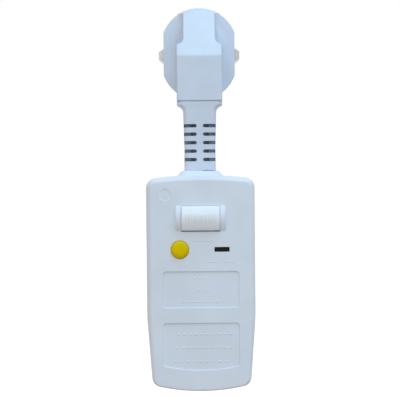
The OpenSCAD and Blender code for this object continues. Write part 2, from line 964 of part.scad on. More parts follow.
module rear_cover() {
    color("gainsboro")
        difference() {
            union() {
                difference() {
                    union() {
                        half_form(back_y, 0, edge_r);
                        intersection() {
                            collar_form();
                            rear_side();
                        }
                    }
                    translate([0, -over, 0])
                        half_form(floor_y + over, wall, edge_r - 1);
                }
                boss_places()
                    rod_y(0, 0, part_y, floor_y + over, boss_r);
                intersection() {
                    hold_ribs();
                    rear_side();
                }
                for (s = [-1, 1])
                    for (z = post_zs) {
                        rod_y(s * post_x, z, board_back_y, floor_y + over, post_r);
                        rod_y(s * post_x, z, board_y - 0.6, floor_y + over, peg_r);
                    }
                block(-cord_r - 2.5, cord_r + 2.5, part_y + 1.5, floor_y + over,
                    bar_z - bar_half, bar_z + bar_half);
                for (s = [-1, 1])
                    rod_y(s * bar_screw_x, bar_z, part_y - bar_seat, floor_y + over, bar_post_r);
            }
            cord_ways();
            rod_z(0, part_y, bar_z - bar_half - 1, bar_z + bar_half + 1, cord_r + saddle_gap);
            boss_places() {
                rod_y(0, 0, back_y - screw_sink, back_y + over, screw_head_r + 0.3);
                rod_y(0, 0, part_y - over, back_y, screw_r + 0.3);
            }
            for (s = [-1, 1])
                rod_y(s * bar_screw_x, bar_z, part_y - bar_seat - 1, part_y + bar_screw_l + 1, bar_screw_r);
        }
}

module cover_screws() {
    y = back_y - screw_sink;
    color("silver")
        boss_places()
            difference() {
                union() {
                    rod_y(0, 0, y, y + screw_head_h, screw_head_r);
                    rod_y(0, 0, y - screw_l, y + 1, screw_r);
                }
                block(-screw_head_r, screw_head_r, y + 1.2, y + screw_head_h + 1, -0.35, 0.35);
                block(-0.35, 0.35, y + 1.2, y + screw_head_h + 1, -screw_head_r, screw_head_r);
            }
}

module cord_bush() {
    color("dimgray")
        difference() {
            union() {
                rod_z(0, part_y, end_z + 0.3, bush_z + bush_l, cord_r + bush_t);
                rod_z(0, part_y, bush_z, bush_z + bush_l, bush_flange_r);
            }
            rod_z(0, part_y, end_z - 1, bush_z + bush_l + 1, cord_r);
        }
}

module window_lens() {
    color("black") {
        block(window_x - window_w / 2, window_x + window_w / 2, front_y + 0.2, ceiling_y + 0.8,
            lamp_z - window_h / 2, lamp_z + window_h / 2);
        block(window_x - window_w / 2 - 1, window_x + window_w / 2 + 1, ceiling_y, ceiling_y + 0.8,
            lamp_z - window_h / 2 - 1, lamp_z + window_h / 2 + 1);
    }
}

// Keys

module reset_key() {
    color("whitesmoke") {
        along_x(-key_w / 2, key_w)
            crown_side(key_h, key_rise, key_crown, key_under_y - front_y);
        block(-key_w / 2 - 0.8, key_w / 2 + 0.8, key_under_y - key_flange_t, key_under_y,
            key_z - key_h / 2 - 0.8, key_z + key_h / 2 + 0.8);
        rod_y(0, key_z, key_under_y - 1, latch_y - 0.15, stem_r);
        rod_y(0, key_z, key_under_y, stem_head_y + 0.6, neck_w / 2);
        rod_y(0, key_z, stem_head_y, stem_head_y + 1.2, stem_r);
        translate([0, stem_head_y + 1.2, key_z])
            rotate([-90, 0, 0])
                cylinder(h = 1.5, r1 = stem_r, r2 = stem_r - 1.2);
    }
}

module reset_spring() {
    color("silver")
        translate([0, plate_y, key_z])
            rotate([90, 0, 0])
                coil_spring(2.5, stem_r + 1.2, 0.3, plate_y - key_under_y);
}

module test_button() {
    r = test_d / 2;
    dome = 0.5;
    dome_r = (r * r + dome * dome) / (2 * dome);
    color("gold")
        translate([-test_x, 0, lamp_z]) {
            intersection() {
                rod_y(0, 0, front_y - test_rise - 1, button_under_y, r);
                translate([0, front_y - test_rise + dome_r, 0])
                    sphere(r = dome_r);
            }
            rod_y(0, 0, button_under_y - 1.1, button_under_y, r + 0.8);
            rod_y(0, 0, button_under_y - 1, test_stem_y, 1.4);
        }
}

module test_leaf() {
    color("goldenrod") {
        block(leaf_x - leaf_w / 2, leaf_x + leaf_w / 2, leaf_y, leaf_y + leaf_t, leaf_end_z, lamp_z + 2);
        block(leaf_x - leaf_w / 2, leaf_x + leaf_w / 2, leaf_y, board_y, leaf_end_z, leaf_end_z + leaf_t);
    }
}

module test_post() {
    color("goldenrod") {
        rod_y(leaf_x, lamp_z, leaf_y + leaf_t + test_travel, board_y, 0.6);
        rod_y(leaf_x, lamp_z, leaf_y + leaf_t + test_travel, leaf_y + leaf_t + test_travel + 0.6, 1.3);
        rod_y(leaf_x, lamp_z, board_y - 1, board_y, 1.2);
    }
}

// Mechanism

module mechanism_frame() {
    z0 = key_z - frame_half;
    z1 = key_z + frame_half;
    color("dimgray")
        difference() {
            union() {
                block(-leg_out, leg_out, plate_y, strip_y, z0, z1);
                both() {
                    block(leg_in, leg_out, plate_y, board_y, z0, z1);
                    rod_y(guide_x, key_z, plate_y, board_y, guide_d / 2);
                }
            }
            rod_y(0, key_z, plate_y - 1, strip_y + 1, stem_r + 2 * slide_gap);
        }
}

module contact_carriage() {
    color("steelblue")
        difference() {
            union() {
                block(-leg_in + 0.4, leg_in - 0.4, carriage_y, carriage_y + cross_t,
                    key_z - cross_h / 2, key_z + cross_h / 2);
                block(-latch_w / 2 - 0.6, latch_w / 2 + 0.6, carriage_y, boss_back_y,
                    key_z - cross_h / 2, key_z + cross_h / 2);
            }
            rod_y(0, key_z, carriage_y - 1, boss_back_y + 1, stem_r + slide_gap);
            both()
                rod_y(guide_x, key_z, carriage_y - 1, carriage_y + cross_t + 1, guide_d / 2 + slide_gap);
            block(-latch_w / 2 - latch_gap, latch_w / 2 + latch_gap, latch_y - latch_gap,
                latch_y + latch_t + latch_gap, key_z - cross_h, key_z + cross_h);
        }
}

module latch_plate() {
    color("silver")
        difference() {
            block(-latch_w / 2, latch_w / 2, latch_y, latch_y + latch_t, latch_tail_z, key_z + 4.6);
            rod_y(0, key_z - trip_travel, latch_y - 1, latch_y + latch_t + 1, latch_hole_r);
        }
}

module opening_springs() {
    color("silver")
        for (s = [-1, 1])
            translate([s * guide_x, carriage_y, key_z])
                rotate([90, 0, 0])
                    coil_spring(2.5, guide_d / 2 + 0.7, 0.25, carriage_y - strip_y);
}

// A moving bridge with a tip at each end
module contact_bridge(s) {
    y = carriage_y - bar_t;
    color("peru")
        scale([s, 1, 1]) {
            block(feed_x - 1.6, load_x + 1.6, y, carriage_y, key_z - 2, key_z + 2);
            for (x = [feed_x, load_x])
                rod_y(x, key_z, closed_y, y + bar_t / 2, tip_d / 2);
        }
}

module live_bridge() {
    contact_bridge(1);
}

module neutral_bridge() {
    contact_bridge(-1);
}

// A fixed contact strip with its tip
module contact_strip(x, z0, z1) {
    color("goldenrod") {
        block(x - strip_w / 2, x + strip_w / 2, strip_y, strip_y + strip_t, z0, z1);
        rod_y(x, key_z, strip_y, closed_y - seat_gap / 2, tip_d / 2);
    }
}

module live_feed() {
    contact_strip(feed_x, key_z - 2.4, feed_top_z);
}

module neutral_feed() {
    contact_strip(-feed_x, key_z - 2.4, feed_top_z);
}

module live_load() {
    contact_strip(load_x, load_end_z, key_z + 2.4);
}

module neutral_load() {
    contact_strip(-load_x, load_end_z, key_z + 2.4);
}

// Trip coil

module coil_bobbin() {
    color("ivory")
        translate([0, coil_y, 0])
            difference() {
                union() {
                    rod_z(0, 0, coil_end_z, coil_top_z, core_r);
                    rod_z(0, 0, coil_end_z, coil_end_z + flange_1, flange_r);
                    rod_z(0, 0, stop_z, coil_top_z, flange_r);
                }
                rod_z(0, 0, coil_end_z - 1, stop_z, plunger_r + slide_gap);
                rod_z(0, 0, stop_z - 1, coil_top_z + 1, pusher_d / 2 + slide_gap);
            }
}

module coil_winding() {
    color("chocolate")
        difference() {
            rod_z(0, coil_y, coil_end_z + flange_1, stop_z, coil_d / 2);
            rod_z(0, coil_y, coil_end_z, coil_top_z, core_r);
        }
}

module coil_yoke() {
    front = coil_y - flange_r;
    color("slategray")
        difference() {
            block(-flange_r, flange_r, front - yoke_t, board_y, coil_end_z - yoke_t, coil_top_z + yoke_t);
            block(-flange_r - 1, flange_r + 1, front, board_y + 1, coil_end_z, coil_top_z);
            rod_z(0, coil_y, coil_end_z - yoke_t - 1, coil_end_z + 1, plunger_r + 2 * slide_gap);
            rod_z(0, coil_y, coil_top_z - 1, coil_top_z + yoke_t + 1, pusher_d / 2 + 2 * slide_gap);
        }
}

module plunger() {
    color("lightsteelblue") {
        rod_z(0, coil_y, plunger_end_z, plunger_top_z, plunger_r);
        rod_z(0, coil_y, plunger_top_z - 1, latch_tail_z - coil_gap, pusher_d / 2);
    }
}

module plunger_spring() {
    color("silver")
        translate([0, coil_y, plunger_top_z])
            coil_spring(3.5, (pusher_d + plunger_d) / 4, 0.2, stop_z - plunger_top_z);
}

// Board

module circuit_board() {
    color("seagreen")
        difference() {
            block(-board_w / 2, board_w / 2, board_y, board_back_y, board_end_z, board_top_z);
            for (s = [-1, 1])
                for (z = post_zs)
                    rod_y(s * post_x, z, board_y - 1, board_back_y + 1, peg_r + seat_gap);
        }
}

module sensing_core() {
    color("royalblue")
        difference() {
            union() {
                rod_z(0, core_y, core_z - core_t / 2, core_z + core_t / 2, core_d / 2);
                block(-core_foot, core_foot, core_y + core_d / 4, board_y,
                    core_z - core_t / 2, core_z + core_t / 2);
            }
            rod_z(0, core_y, core_z - core_t, core_z + core_t, core_bore / 2);
        }
}

module status_lamp() {
    y = ceiling_y + lamp_gap;
    color("green") {
        rod_y(window_x, lamp_z, y, y + lamp_l, lamp_r);
        translate([window_x, y, lamp_z])
            sphere(r = lamp_r);
        rod_y(window_x, lamp_z, y + lamp_l - lamp_rim_t / 2, y + lamp_l + lamp_rim_t / 2, lamp_rim_r);
        for (s = [-1, 1])
            translate([window_x + s * lamp_lead_x, 0, lamp_z])
                block(-lead_r, lead_r, y + lamp_l, board_y, -lead_r, lead_r);
    }
}

module varistor() {
    color("royalblue")
        translate([flange_r + varistor_r + varistor_gap, 0, lamp_z - 8]) {
            rod_z(0, board_y - varistor_up, -varistor_t / 2, varistor_t / 2, varistor_r);
            for (s = [-1, 1])
                translate([s * varistor_lead_x, 0, 0])
                    block(-lead_r, lead_r, board_y - varistor_up + 1, board_y, -lead_r, lead_r);
        }
}

module capacitor() {
    x = core_d / 2 + cap_gap;
    z = core_z + cap_up;
    color("darkorange")
        block(x, x + cap_w, board_y - cap_d, board_y, z - cap_h / 2, z + cap_h / 2);
}

module control_chip() {
    x = -board_w / 2 + chip_in;
    z = core_z + chip_up;
    foot = chip_w / 2 + chip_leg;
    color("black") {
        block(x - chip_w / 2, x + chip_w / 2, board_y - chip_rise - chip_t, board_y - chip_rise,
            z - chip_l / 2, z + chip_l / 2);
        for (i = [0 : 3])
            translate([x, 0, z + (i - 1.5) * chip_pitch])
                block(-foot, foot, board_y - chip_rise - chip_t / 2, board_y, -lead_r, lead_r);
    }
}

module thyristor() {
    color("black")
        translate([-board_w / 2 + thyristor_in, board_y, lamp_z - 2.4]) {
            difference() {
                rod_y(0, 0, -thyristor_rise - thyristor_l, -thyristor_rise, thyristor_r);
                block(-thyristor_r - 1, thyristor_r + 1, -thyristor_rise - thyristor_l - 1, 0,
                    -thyristor_r - 1, -thyristor_flat);
            }
            for (i = [-1 : 1])
                translate([i * thyristor_pitch, 0, 0])
                    block(-lead_r, lead_r, -thyristor_rise - 0.6, 0, -lead_r, lead_r);
        }
}

// A small resistor lying over the board, with square leads
module resistor(x, z) {
    y = board_y - resistor_up;
    reach = resistor_span / 2 + lead_r;
    translate([x, 0, z]) {
        rod_z(0, y, -resistor_l / 2, resistor_l / 2, resistor_r);
        block(-lead_r, lead_r, y - lead_r, y + lead_r, -reach, reach);
        for (s = [-1, 1])
            translate([0, 0, s * resistor_span / 2])
                block(-lead_r, lead_r, y - lead_r, board_y, -lead_r, lead_r);
    }
}

module resistors() {
    color("tan") {
        resistor(board_w / 2 - 5.6, key_z - 9.4);
        resistor(board_w / 2 - 5.6 - resistor_pitch, key_z - 9.4);
        resistor(leaf_x - leaf_w / 2 - resistor_r - 0.4, core_z + 13.2);
    }
}

// Terminals

module clamp_places() {
    for (i = [-1 : 1])
        translate([i * clamp_pitch, 0, 0])
            children();
}

module terminal_block() {
    half = clamp_pitch + clamp_w / 2 + block_margin;
    color("dimgray")
        difference() {
            block(-half, half, block_y, board_y, block_end_z, block_top_z);
            clamp_places() {
                block(-clamp_w / 2 - seat_gap, clamp_w / 2 + seat_gap, block_y - 1, clamp_back_y,
                    block_end_z + block_rim, block_top_z - block_rim);
                rod_z(0, clamp_bore_y, block_end_z - 1, block_top_z + 1, clamp_bore);
            }
        }
}

// A brass clamp with a cross bore for the cores and a tapped hole in front
module outlet_clamp(i) {
    rim = block_rim + seat_gap;
    color("goldenrod")
        translate([i * clamp_pitch, 0, 0])
            difference() {
                block(-clamp_w / 2, clamp_w / 2, clamp_front_y, clamp_back_y,
                    block_end_z + rim, block_top_z - rim);
                rod_z(0, clamp_bore_y, block_end_z, block_top_z, clamp_bore);
                rod_y(0, clamp_screw_z, clamp_front_y - 1, clamp_bore_y, clamp_screw_r);
            }
}

module live_clamp() {
    outlet_clamp(1);
}

module neutral_clamp() {
    outlet_clamp(-1);
}

module earth_clamp() {
    outlet_clamp(0);
}

module clamp_screws() {
    head_y = clamp_front_y - clamp_head_h;
    color("silver")
        clamp_places()
            difference() {
                union() {
                    rod_y(0, clamp_screw_z, head_y, clamp_front_y, clamp_head_r);
                    rod_y(0, clamp_screw_z, head_y + 0.6, clamp_bore_y - clamp_bore - seat_gap,
                        clamp_screw_r);
                }
                block(-clamp_head_r - 1, clamp_head_r + 1, head_y - 1, head_y + drive_d,
                    clamp_screw_z - drive_h, clamp_screw_z + drive_h);
            }
}

module cord_bar() {
    y0 = part_y - cord_r - bar_rise;
    y1 = part_y - bar_seat;
    half = bar_screw_x + bar_post_r;
    color("dimgray")
        difference() {
            block(-half, half, y0, y1, bar_z - bar_half, bar_z + bar_half);
            rod_z(0, part_y, bar_z - bar_half - 1, bar_z + bar_half + 1, cord_r + saddle_gap);
            for (s = [-1, 1])
                rod_y(s * bar_screw_x, bar_z, y0 - 1, y1 + 1, bar_screw_r + 0.3);
        }
}

module cord_bar_screws() {
    y0 = part_y - cord_r - bar_rise;
    head_y = y0 - bar_head_h;
    color("silver")
        for (s = [-1, 1])
            translate([s * bar_screw_x, 0, bar_z])
                difference() {
                    union() {
                        rod_y(0, 0, head_y, y0, bar_head_r);
                        rod_y(0, 0, head_y + 0.6, part_y + bar_screw_l, bar_screw_r);
                    }
                    block(-bar_head_r - 1, bar_head_r + 1, head_y - 1, head_y + drive_d, -drive_h, drive_h);
                }
}

// Cores

// From the flex to an incoming contact
module feed_wire(s) {
    x = s * feed_x;
    y = strip_y + strip_t + wire_d / 2 + seat_gap;
    start = [s * 1.8, part_y - 0.6, sheath_end_z];
    wire([start, start - [0, 0, 0.4], start - [0, 0, 1.4], [s * 5.4, part_y - 2.6, sheath_end_z - 3.4],
        [x - s * 1.2, y, feed_top_z + 0.2], [x, y, feed_top_z - 1.4], [x, y, key_z + frame_half + 0.3]]);
}

module live_wire() {
    color("brown")
        feed_wire(1);
}

module neutral_wire() {
    color("blue")
        feed_wire(-1);
}

module earth_wire() {
    start = [0, part_y + 1.9, sheath_end_z];
    x = -leg_in + 2.4;
    side = -board_w / 2 + 1.6;
    y = board_y - 2.6;
    color("yellowgreen")
        wire([start, start - [0, 0, 0.4], start - [0, 0, 1.8], [-6, y - 2, sheath_end_z - 4.8],
            [x, y, key_z + 5], [x, y, key_z - 6], [side, y, lamp_z + 1], [side, y, core_z - 1.5],
            [-clamp_pitch, y, block_top_z + 4.4], [-clamp_pitch / 2, y - 0.6, block_top_z + 3.2],
            [-1.2, clamp_bore_y + 1, block_top_z + 2.2],
            [0, clamp_bore_y, block_top_z + 0.8], [0, clamp_bore_y, block_end_z + 4]]);
}

// From an outgoing contact through the sensing core to a clamp
module load_wire(s) {
    y = strip_y + strip_t + wire_d / 2 + seat_gap;
    x = s * load_x;
    wire([[x, y, key_z - frame_half - 0.4], [x, y, load_end_z], [x - s * 0.2, y + 1.4, lamp_z - 2],
        [x - s * 0.4, y + 1.6, lamp_z - 11], [s * 8, core_y - 2, core_z + core_t / 2 + 4],
        [s * 1.8, core_y, core_z + core_t / 2 + 0.6], [s * 1.8, core_y, core_z - core_t / 2 - 0.6],
        [s * clamp_pitch / 2, core_y + 1, block_top_z + 3.2],
        [s * clamp_pitch, clamp_bore_y, block_top_z + 1.2],
        [s * clamp_pitch, clamp_bore_y, block_end_z + 4]]);
}

module live_out_wire() {
    color("brown")
        load_wire(1);
}

module neutral_out_wire() {
    color("blue")
        load_wire(-1);
}

plug_body();
pin_bridge();
live_pin();
neutral_pin();
earth_strap();
earth_socket();
strain_relief();
flex_sheath();
front_cover();
rear_cover();
cover_screws();
cord_bush();
window_lens();
reset_key();
reset_spring();
test_button();
test_leaf();
test_post();
mechanism_frame();
contact_carriage();
latch_plate();
opening_springs();
live_bridge();
neutral_bridge();
live_feed();
neutral_feed();
live_load();
neutral_load();
coil_bobbin();
coil_winding();
coil_yoke();
plunger();
plunger_spring();
circuit_board();
sensing_core();
status_lamp();
varistor();
capacitor();
control_chip();
thyristor();
resistors();
terminal_block();
live_clamp();
neutral_clamp();
earth_clamp();
clamp_screws();
cord_bar();
cord_bar_screws();
live_wire();
neutral_wire();
earth_wire();
live_out_wire();
neutral_out_wire();
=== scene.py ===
# %% [markdown]
# Adapter plug with a residual-current trip, dressed for a studio picture.
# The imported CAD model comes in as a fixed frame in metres. X is right, Y points into the wall and Z is
# up, and the origin lies between the plug's pins. Pieces that show get finer meshes here; pieces inside
# the box keep their CAD solids and get a finish.

# %% Load the frame
import json
import math

import bmesh
import bpy
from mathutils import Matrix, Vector


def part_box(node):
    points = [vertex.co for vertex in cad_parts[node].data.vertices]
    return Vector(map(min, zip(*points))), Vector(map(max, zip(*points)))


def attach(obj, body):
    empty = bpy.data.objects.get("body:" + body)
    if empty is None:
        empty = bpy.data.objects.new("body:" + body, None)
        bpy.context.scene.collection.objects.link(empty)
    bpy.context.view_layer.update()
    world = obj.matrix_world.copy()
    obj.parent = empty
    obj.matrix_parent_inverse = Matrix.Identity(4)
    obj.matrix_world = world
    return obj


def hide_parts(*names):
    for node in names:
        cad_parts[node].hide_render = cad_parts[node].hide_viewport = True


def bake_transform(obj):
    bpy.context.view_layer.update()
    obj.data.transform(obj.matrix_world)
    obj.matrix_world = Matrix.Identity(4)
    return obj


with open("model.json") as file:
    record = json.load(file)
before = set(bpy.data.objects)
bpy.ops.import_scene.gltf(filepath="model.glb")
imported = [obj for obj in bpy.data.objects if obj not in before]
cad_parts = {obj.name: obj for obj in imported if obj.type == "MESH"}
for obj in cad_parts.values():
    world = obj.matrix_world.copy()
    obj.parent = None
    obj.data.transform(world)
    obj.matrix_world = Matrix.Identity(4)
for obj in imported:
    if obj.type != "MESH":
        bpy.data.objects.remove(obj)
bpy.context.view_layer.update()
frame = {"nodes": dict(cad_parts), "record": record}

MM = 0.001
scene = bpy.context.scene
nodes = frame["nodes"]

# %% [markdown]
# Small tools come first. Colours are written as sRGB hex codes, the way a paint chart gives them, and one
# function turns them into the linear values that shaders read. One more function adds a node to a tree,
# sets its options and fills or links its sockets, so each finish below reads like a recipe. Every finish
# starts from the piece's own Object coordinates, so its pattern stays on the piece when that moves.

# %% Colours and nodes


def colour(code):
    parts = [int(code[i:i + 2], 16) / 255 for i in (1, 3, 5)]
    linear = [c / 12.92 if c <= 0.04045 else ((c + 0.055) / 1.055) ** 2.4 for c in parts]
    return (*linear, 1.0)


def add(tree, kind, sockets=None, **options):
    made = tree.nodes.new(kind)
    for name, value in options.items():
        setattr(made, name, value)
    for name, value in (sockets or {}).items():
        if isinstance(value, bpy.types.NodeSocket):
            tree.links.new(value, made.inputs[name])
        else:
            made.inputs[name].default_value = value
    return made


def new_finish(name):
    finish = bpy.data.materials.new(name)
    finish.use_nodes = True
    tree = finish.node_tree
    tree.nodes.clear()
    return finish, tree, add(tree, "ShaderNodeTexCoord").outputs["Object"]


def two_tones(ramp, dark, light, low=0.35, high=0.65):
    ends = ramp.color_ramp.elements
    ends[0].position, ends[1].position = low, high
    ends[0].color, ends[1].color = colour(dark), colour(light)


print("white reads as", [round(c, 3) for c in colour("#C4D3DF")])

# %% [markdown]
# Moulded plastic is the main finish. A real ABS shell carries the fine grain of a spark-eroded mould, some
# 0.05 mm across, which no picture of this size can show, so the grain is drawn several times coarser. A slow
# change of tone over a few centimetres stands for flow marks and handling. Grain drives bump and roughness.

# %% Moulded plastics
MOTTLE_MM, GLOSS_SPREAD, GRAIN_BUMP = 14.0, 0.06, 0.35


def moulded(name, dark, light, rough, grain_mm, depth_mm, ior=1.5, shine=0.4):
    finish, tree, place = new_finish(name)
    mottle = add(tree, "ShaderNodeTexNoise", {"Vector": place, "Scale": 1 / (MOTTLE_MM * MM), "Detail": 3.0})
    tone = add(tree, "ShaderNodeValToRGB", {"Fac": mottle.outputs["Fac"]})
    two_tones(tone, dark, light)
    grain = add(tree, "ShaderNodeTexNoise", {"Vector": place, "Scale": 1 / (grain_mm * MM), "Detail": 2.0})
    gloss = add(tree, "ShaderNodeMapRange",
                {"Value": grain.outputs["Fac"], "To Min": rough - GLOSS_SPREAD,
                 "To Max": rough + GLOSS_SPREAD})
    relief = add(tree, "ShaderNodeBump",
                 {"Height": grain.outputs["Fac"], "Strength": GRAIN_BUMP, "Distance": depth_mm * MM})
    surface = add(tree, "ShaderNodeBsdfPrincipled",
                  {"Base Color": tone.outputs["Color"], "Roughness": gloss.outputs["Result"], "IOR": ior,
                   "Specular IOR Level": shine, "Normal": relief.outputs["Normal"]})
    add(tree, "ShaderNodeOutputMaterial", {"Surface": surface.outputs["BSDF"]})
    return finish


# ABS of both covers: matte, cool white, with the mould's grain
shell_abs = moulded("abs_cool_white", "#D7E0EA", "#DCE5EF", 0.48, 0.45, 0.02)
# ABS of the reset key: the same white, polished a little finer
key_abs = moulded("abs_polished_white", "#E3EAF0", "#E7EEF4", 0.36, 0.4, 0.008)
# Soft PVC of the plug and its strain relief: bluish white, with a low satin shine
soft_pvc = moulded("pvc_soft_white", "#CBD8E7", "#D1DDEC", 0.42, 0.6, 0.015)
# ABS of the test button: strong yellow, smooth
button_abs = moulded("abs_yellow", "#DBBF00", "#E1C500", 0.34, 0.5, 0.006, shine=0.06)
# Smoked acrylic of the window: near black and glossy
window_acrylic = moulded("acrylic_smoked", "#0A1014", "#0F161B", 0.12, 1.2, 0.001, ior=1.49, shine=0.14)
# PVC sheath of the flex inside the strain relief: dull grey, partly its own colour and partly painted
# shade, toned down so that the slots it shows through look dark
sheath_grey_painted_shade = moulded("pvc_sheath_grey_painted_shade", "#7C8288", "#868C92", 0.55, 0.5, 0.02)
# Glass-filled nylon of the pin plate, the bush and the frame
nylon_grey = moulded("nylon_dark_grey", "#2B2D30", "#323437", 0.5, 0.35, 0.02)
# Unpigmented nylon of the bobbin and the terminal block
nylon_natural = moulded("nylon_natural", "#C4BDA6", "#CFC9B5", 0.45, 0.5, 0.015)
# Acetal of the contact carriage
acetal_blue = moulded("acetal_blue_grey", "#3F5F84", "#476A90", 0.35, 0.5, 0.01)
# Moulded epoxy of the chip and the thyristor
epoxy_black = moulded("epoxy_black", "#141416", "#1B1B1E", 0.5, 0.3, 0.02)
# Dipped epoxy coats of the small components
epoxy_blue = moulded("epoxy_dip_blue", "#1B3F86", "#22498F", 0.25, 1.5, 0.03)
epoxy_orange = moulded("epoxy_dip_orange", "#B4541A", "#C25F20", 0.25, 1.5, 0.03)
lacquer_tan = moulded("lacquer_tan", "#A88D60", "#B5996B", 0.3, 1.2, 0.02)
lens_green = moulded("epoxy_lens_green", "#2C7F3A", "#358C44", 0.15, 1.5, 0.005)
# PVC insulation of the three cores
core_brown = moulded("pvc_core_brown", "#54301C", "#5E3722", 0.4, 0.6, 0.01)
core_blue = moulded("pvc_core_blue", "#1D3F86", "#244991", 0.4, 0.6, 0.01)
print("moulded finishes:", len(bpy.data.materials))

# %% [markdown]
# Metal parts are nickel plate, bare brass, enamelled copper and zinc plate. Each one is a metal shader whose
# roughness follows fine drawing lines: a noise that a Mapping node stretches along one axis. Metals keep the
# shader's own IOR.

# %% Metals
LINE_STRETCH, LINE_BUMP, LINE_DEPTH_MM = 14, 0.2, 0.01
SHINIER, DULLER = 0.07, 0.1


def drawn_metal(name, dark, light, rough, line_mm, along):
    finish, tree, place = new_finish(name)
    stretch = [1 / (line_mm * MM)] * 3
    stretch["XYZ".index(along)] /= LINE_STRETCH
    lines = add(tree, "ShaderNodeMapping", {"Vector": place, "Scale": stretch})
    scratch = add(tree, "ShaderNodeTexNoise",
                  {"Vector": lines.outputs["Vector"], "Scale": 1.0, "Detail": 3.0})
    tone = add(tree, "ShaderNodeValToRGB", {"Fac": scratch.outputs["Fac"]})
    two_tones(tone, dark, light)
    gloss = add(tree, "ShaderNodeMapRange",
                {"Value": scratch.outputs["Fac"], "To Min": rough - SHINIER, "To Max": rough + DULLER})
    relief = add(tree, "ShaderNodeBump",
                 {"Height": scratch.outputs["Fac"], "Strength": LINE_BUMP, "Distance": LINE_DEPTH_MM * MM})
    surface = add(tree, "ShaderNodeBsdfPrincipled",
                  {"Base Color": tone.outputs["Color"], "Metallic": 1.0, "Roughness": gloss.outputs["Result"],
                   "Normal": relief.outputs["Normal"]})
    add(tree, "ShaderNodeOutputMaterial", {"Surface": surface.outputs["BSDF"]})
    return finish


# Nickel plate of the pins and the earth clips: pale, a little warm, softly brushed along the pins
nickel = drawn_metal("nickel_plate", "#B0B3B9", "#BEC1C6", 0.24, 0.25, "Y")
# Brass of the contact strips and clamps
brass = drawn_metal("brass_bright", "#B8913F", "#C9A24C", 0.28, 0.3, "Z")
# Enamelled copper of the winding and the bridges
copper = drawn_metal("copper_enamelled", "#A5572C", "#B56636", 0.3, 0.3, "X")
# Zinc plate of the screws, springs and the yoke
zinc = drawn_metal("zinc_plate", "#9A9CA0", "#ABADB0", 0.33, 0.3, "Y")
print("metals:", [m.name for m in (nickel, brass, copper, zinc)])

# %% [markdown]
# Two finishes need a pattern of their own. The board is glass-fibre laminate under green lacquer, with
# copper tracks that show as lighter bands. The earth core is green with yellow stripes along it. Blender's
# wave texture of scale 1 repeats every 0.31 units, so its scale follows from the width of a band.

# %% Laminate and striped core
WAVE_UNIT, BAND_WAVER, BAND_EDGES = 0.31, 1.5, (0.48, 0.52)
BAND_BUMP, BAND_DEPTH_MM, BAND_ROUGH = 0.3, 0.03, 0.32


def banded(name, dark, light, band_mm, turn):
    finish, tree, place = new_finish(name)
    turned = add(tree, "ShaderNodeMapping", {"Vector": place, "Rotation": turn})
    bands = add(tree, "ShaderNodeTexWave",
                {"Vector": turned.outputs["Vector"], "Scale": WAVE_UNIT / (band_mm * MM),
                 "Distortion": BAND_WAVER, "Detail": 1.0}, wave_type="BANDS")
    tone = add(tree, "ShaderNodeValToRGB", {"Fac": bands.outputs["Fac"]})
    two_tones(tone, dark, light, *BAND_EDGES)
    relief = add(tree, "ShaderNodeBump",
                 {"Height": bands.outputs["Fac"], "Strength": BAND_BUMP, "Distance": BAND_DEPTH_MM * MM})
    surface = add(tree, "ShaderNodeBsdfPrincipled",
                  {"Base Color": tone.outputs["Color"], "Roughness": BAND_ROUGH,
                   "Normal": relief.outputs["Normal"]})
    add(tree, "ShaderNodeOutputMaterial", {"Surface": surface.outputs["BSDF"]})
    return finish


# Lacquered laminate with track bands about 1.6 mm wide
laminate = banded("laminate_green", "#0F5A30", "#1A6E3E", 1.6, (0, 0, 0))
# Green and yellow PVC insulation, with stripes about 1.2 mm wide
core_striped = banded("pvc_core_green_yellow", "#3E8A22", "#D7C21C", 1.2, (0, 0, 0.6))
print("banded finishes:", laminate.name, core_striped.name)

# %% [markdown]
# Every CAD node gets the finish of its real material. Nodes that a finer mesh stands for later are covered
# too, so that nothing is left without a finish. The record's slots already name the materials, which makes
# a table from slot to finish enough.

# %% Finishes on the CAD nodes
FINISH = {
    # The sheath's grey is partly painted shade for the slots of the boot
    "shell": shell_abs, "key": key_abs, "test": button_abs, "soft_white": soft_pvc, "sheath": sheath_grey_painted_shade,
    "lens": window_acrylic, "nickel": nickel, "brass": brass, "copper": copper, "steel": zinc,
    "dark_plastic": nylon_grey, "inner_plastic": nylon_natural, "carriage_plastic": acetal_blue,
    "board": laminate, "chip": epoxy_black, "component_blue": epoxy_blue, "component_orange": epoxy_orange,
    "component_tan": lacquer_tan, "lamp_green": lens_green, "core_brown": core_brown,
    "core_blue": core_blue, "core_green": core_striped,
}
SLOT = {part["node"]: part["material_slot"] for part in frame["record"]["subparts"]}
for name, node in nodes.items():
    node.data.materials.clear()
    node.data.materials.append(FINISH[SLOT[name]])
print("finished nodes:", len(SLOT))

# %% [markdown]
# The covers are drawn from one outline, as the toolmaker would: an arched top, an arched lower end and
# straight sides that draw in below the waist, with rounded corners. Such a convex outline is cut out of a
# large square, one straight cut after another. The cuts lie one corner radius inside the real edge, and
# every point keeps the direction in which the edge then grows out. Any inset is that same list with another
# radius, so rings for walls, rounded edges and the hollow inside always match point for point.

# %% Convex outlines
FAR, SMALL_TURN = 400, 3


def cut_away(points, nx, nz, limit):
    kept = []
    for a, b in zip(points, points[1:] + points[:1]):
        da, db = nx * a[0] + nz * a[1] - limit, nx * b[0] + nz * b[1] - limit
        if da <= 0:
            kept.append(a)
        if da * db < 0:
            t = da / (da - db)
            kept.append((a[0] + t * (b[0] - a[0]), a[1] + t * (b[1] - a[1])))
    return kept


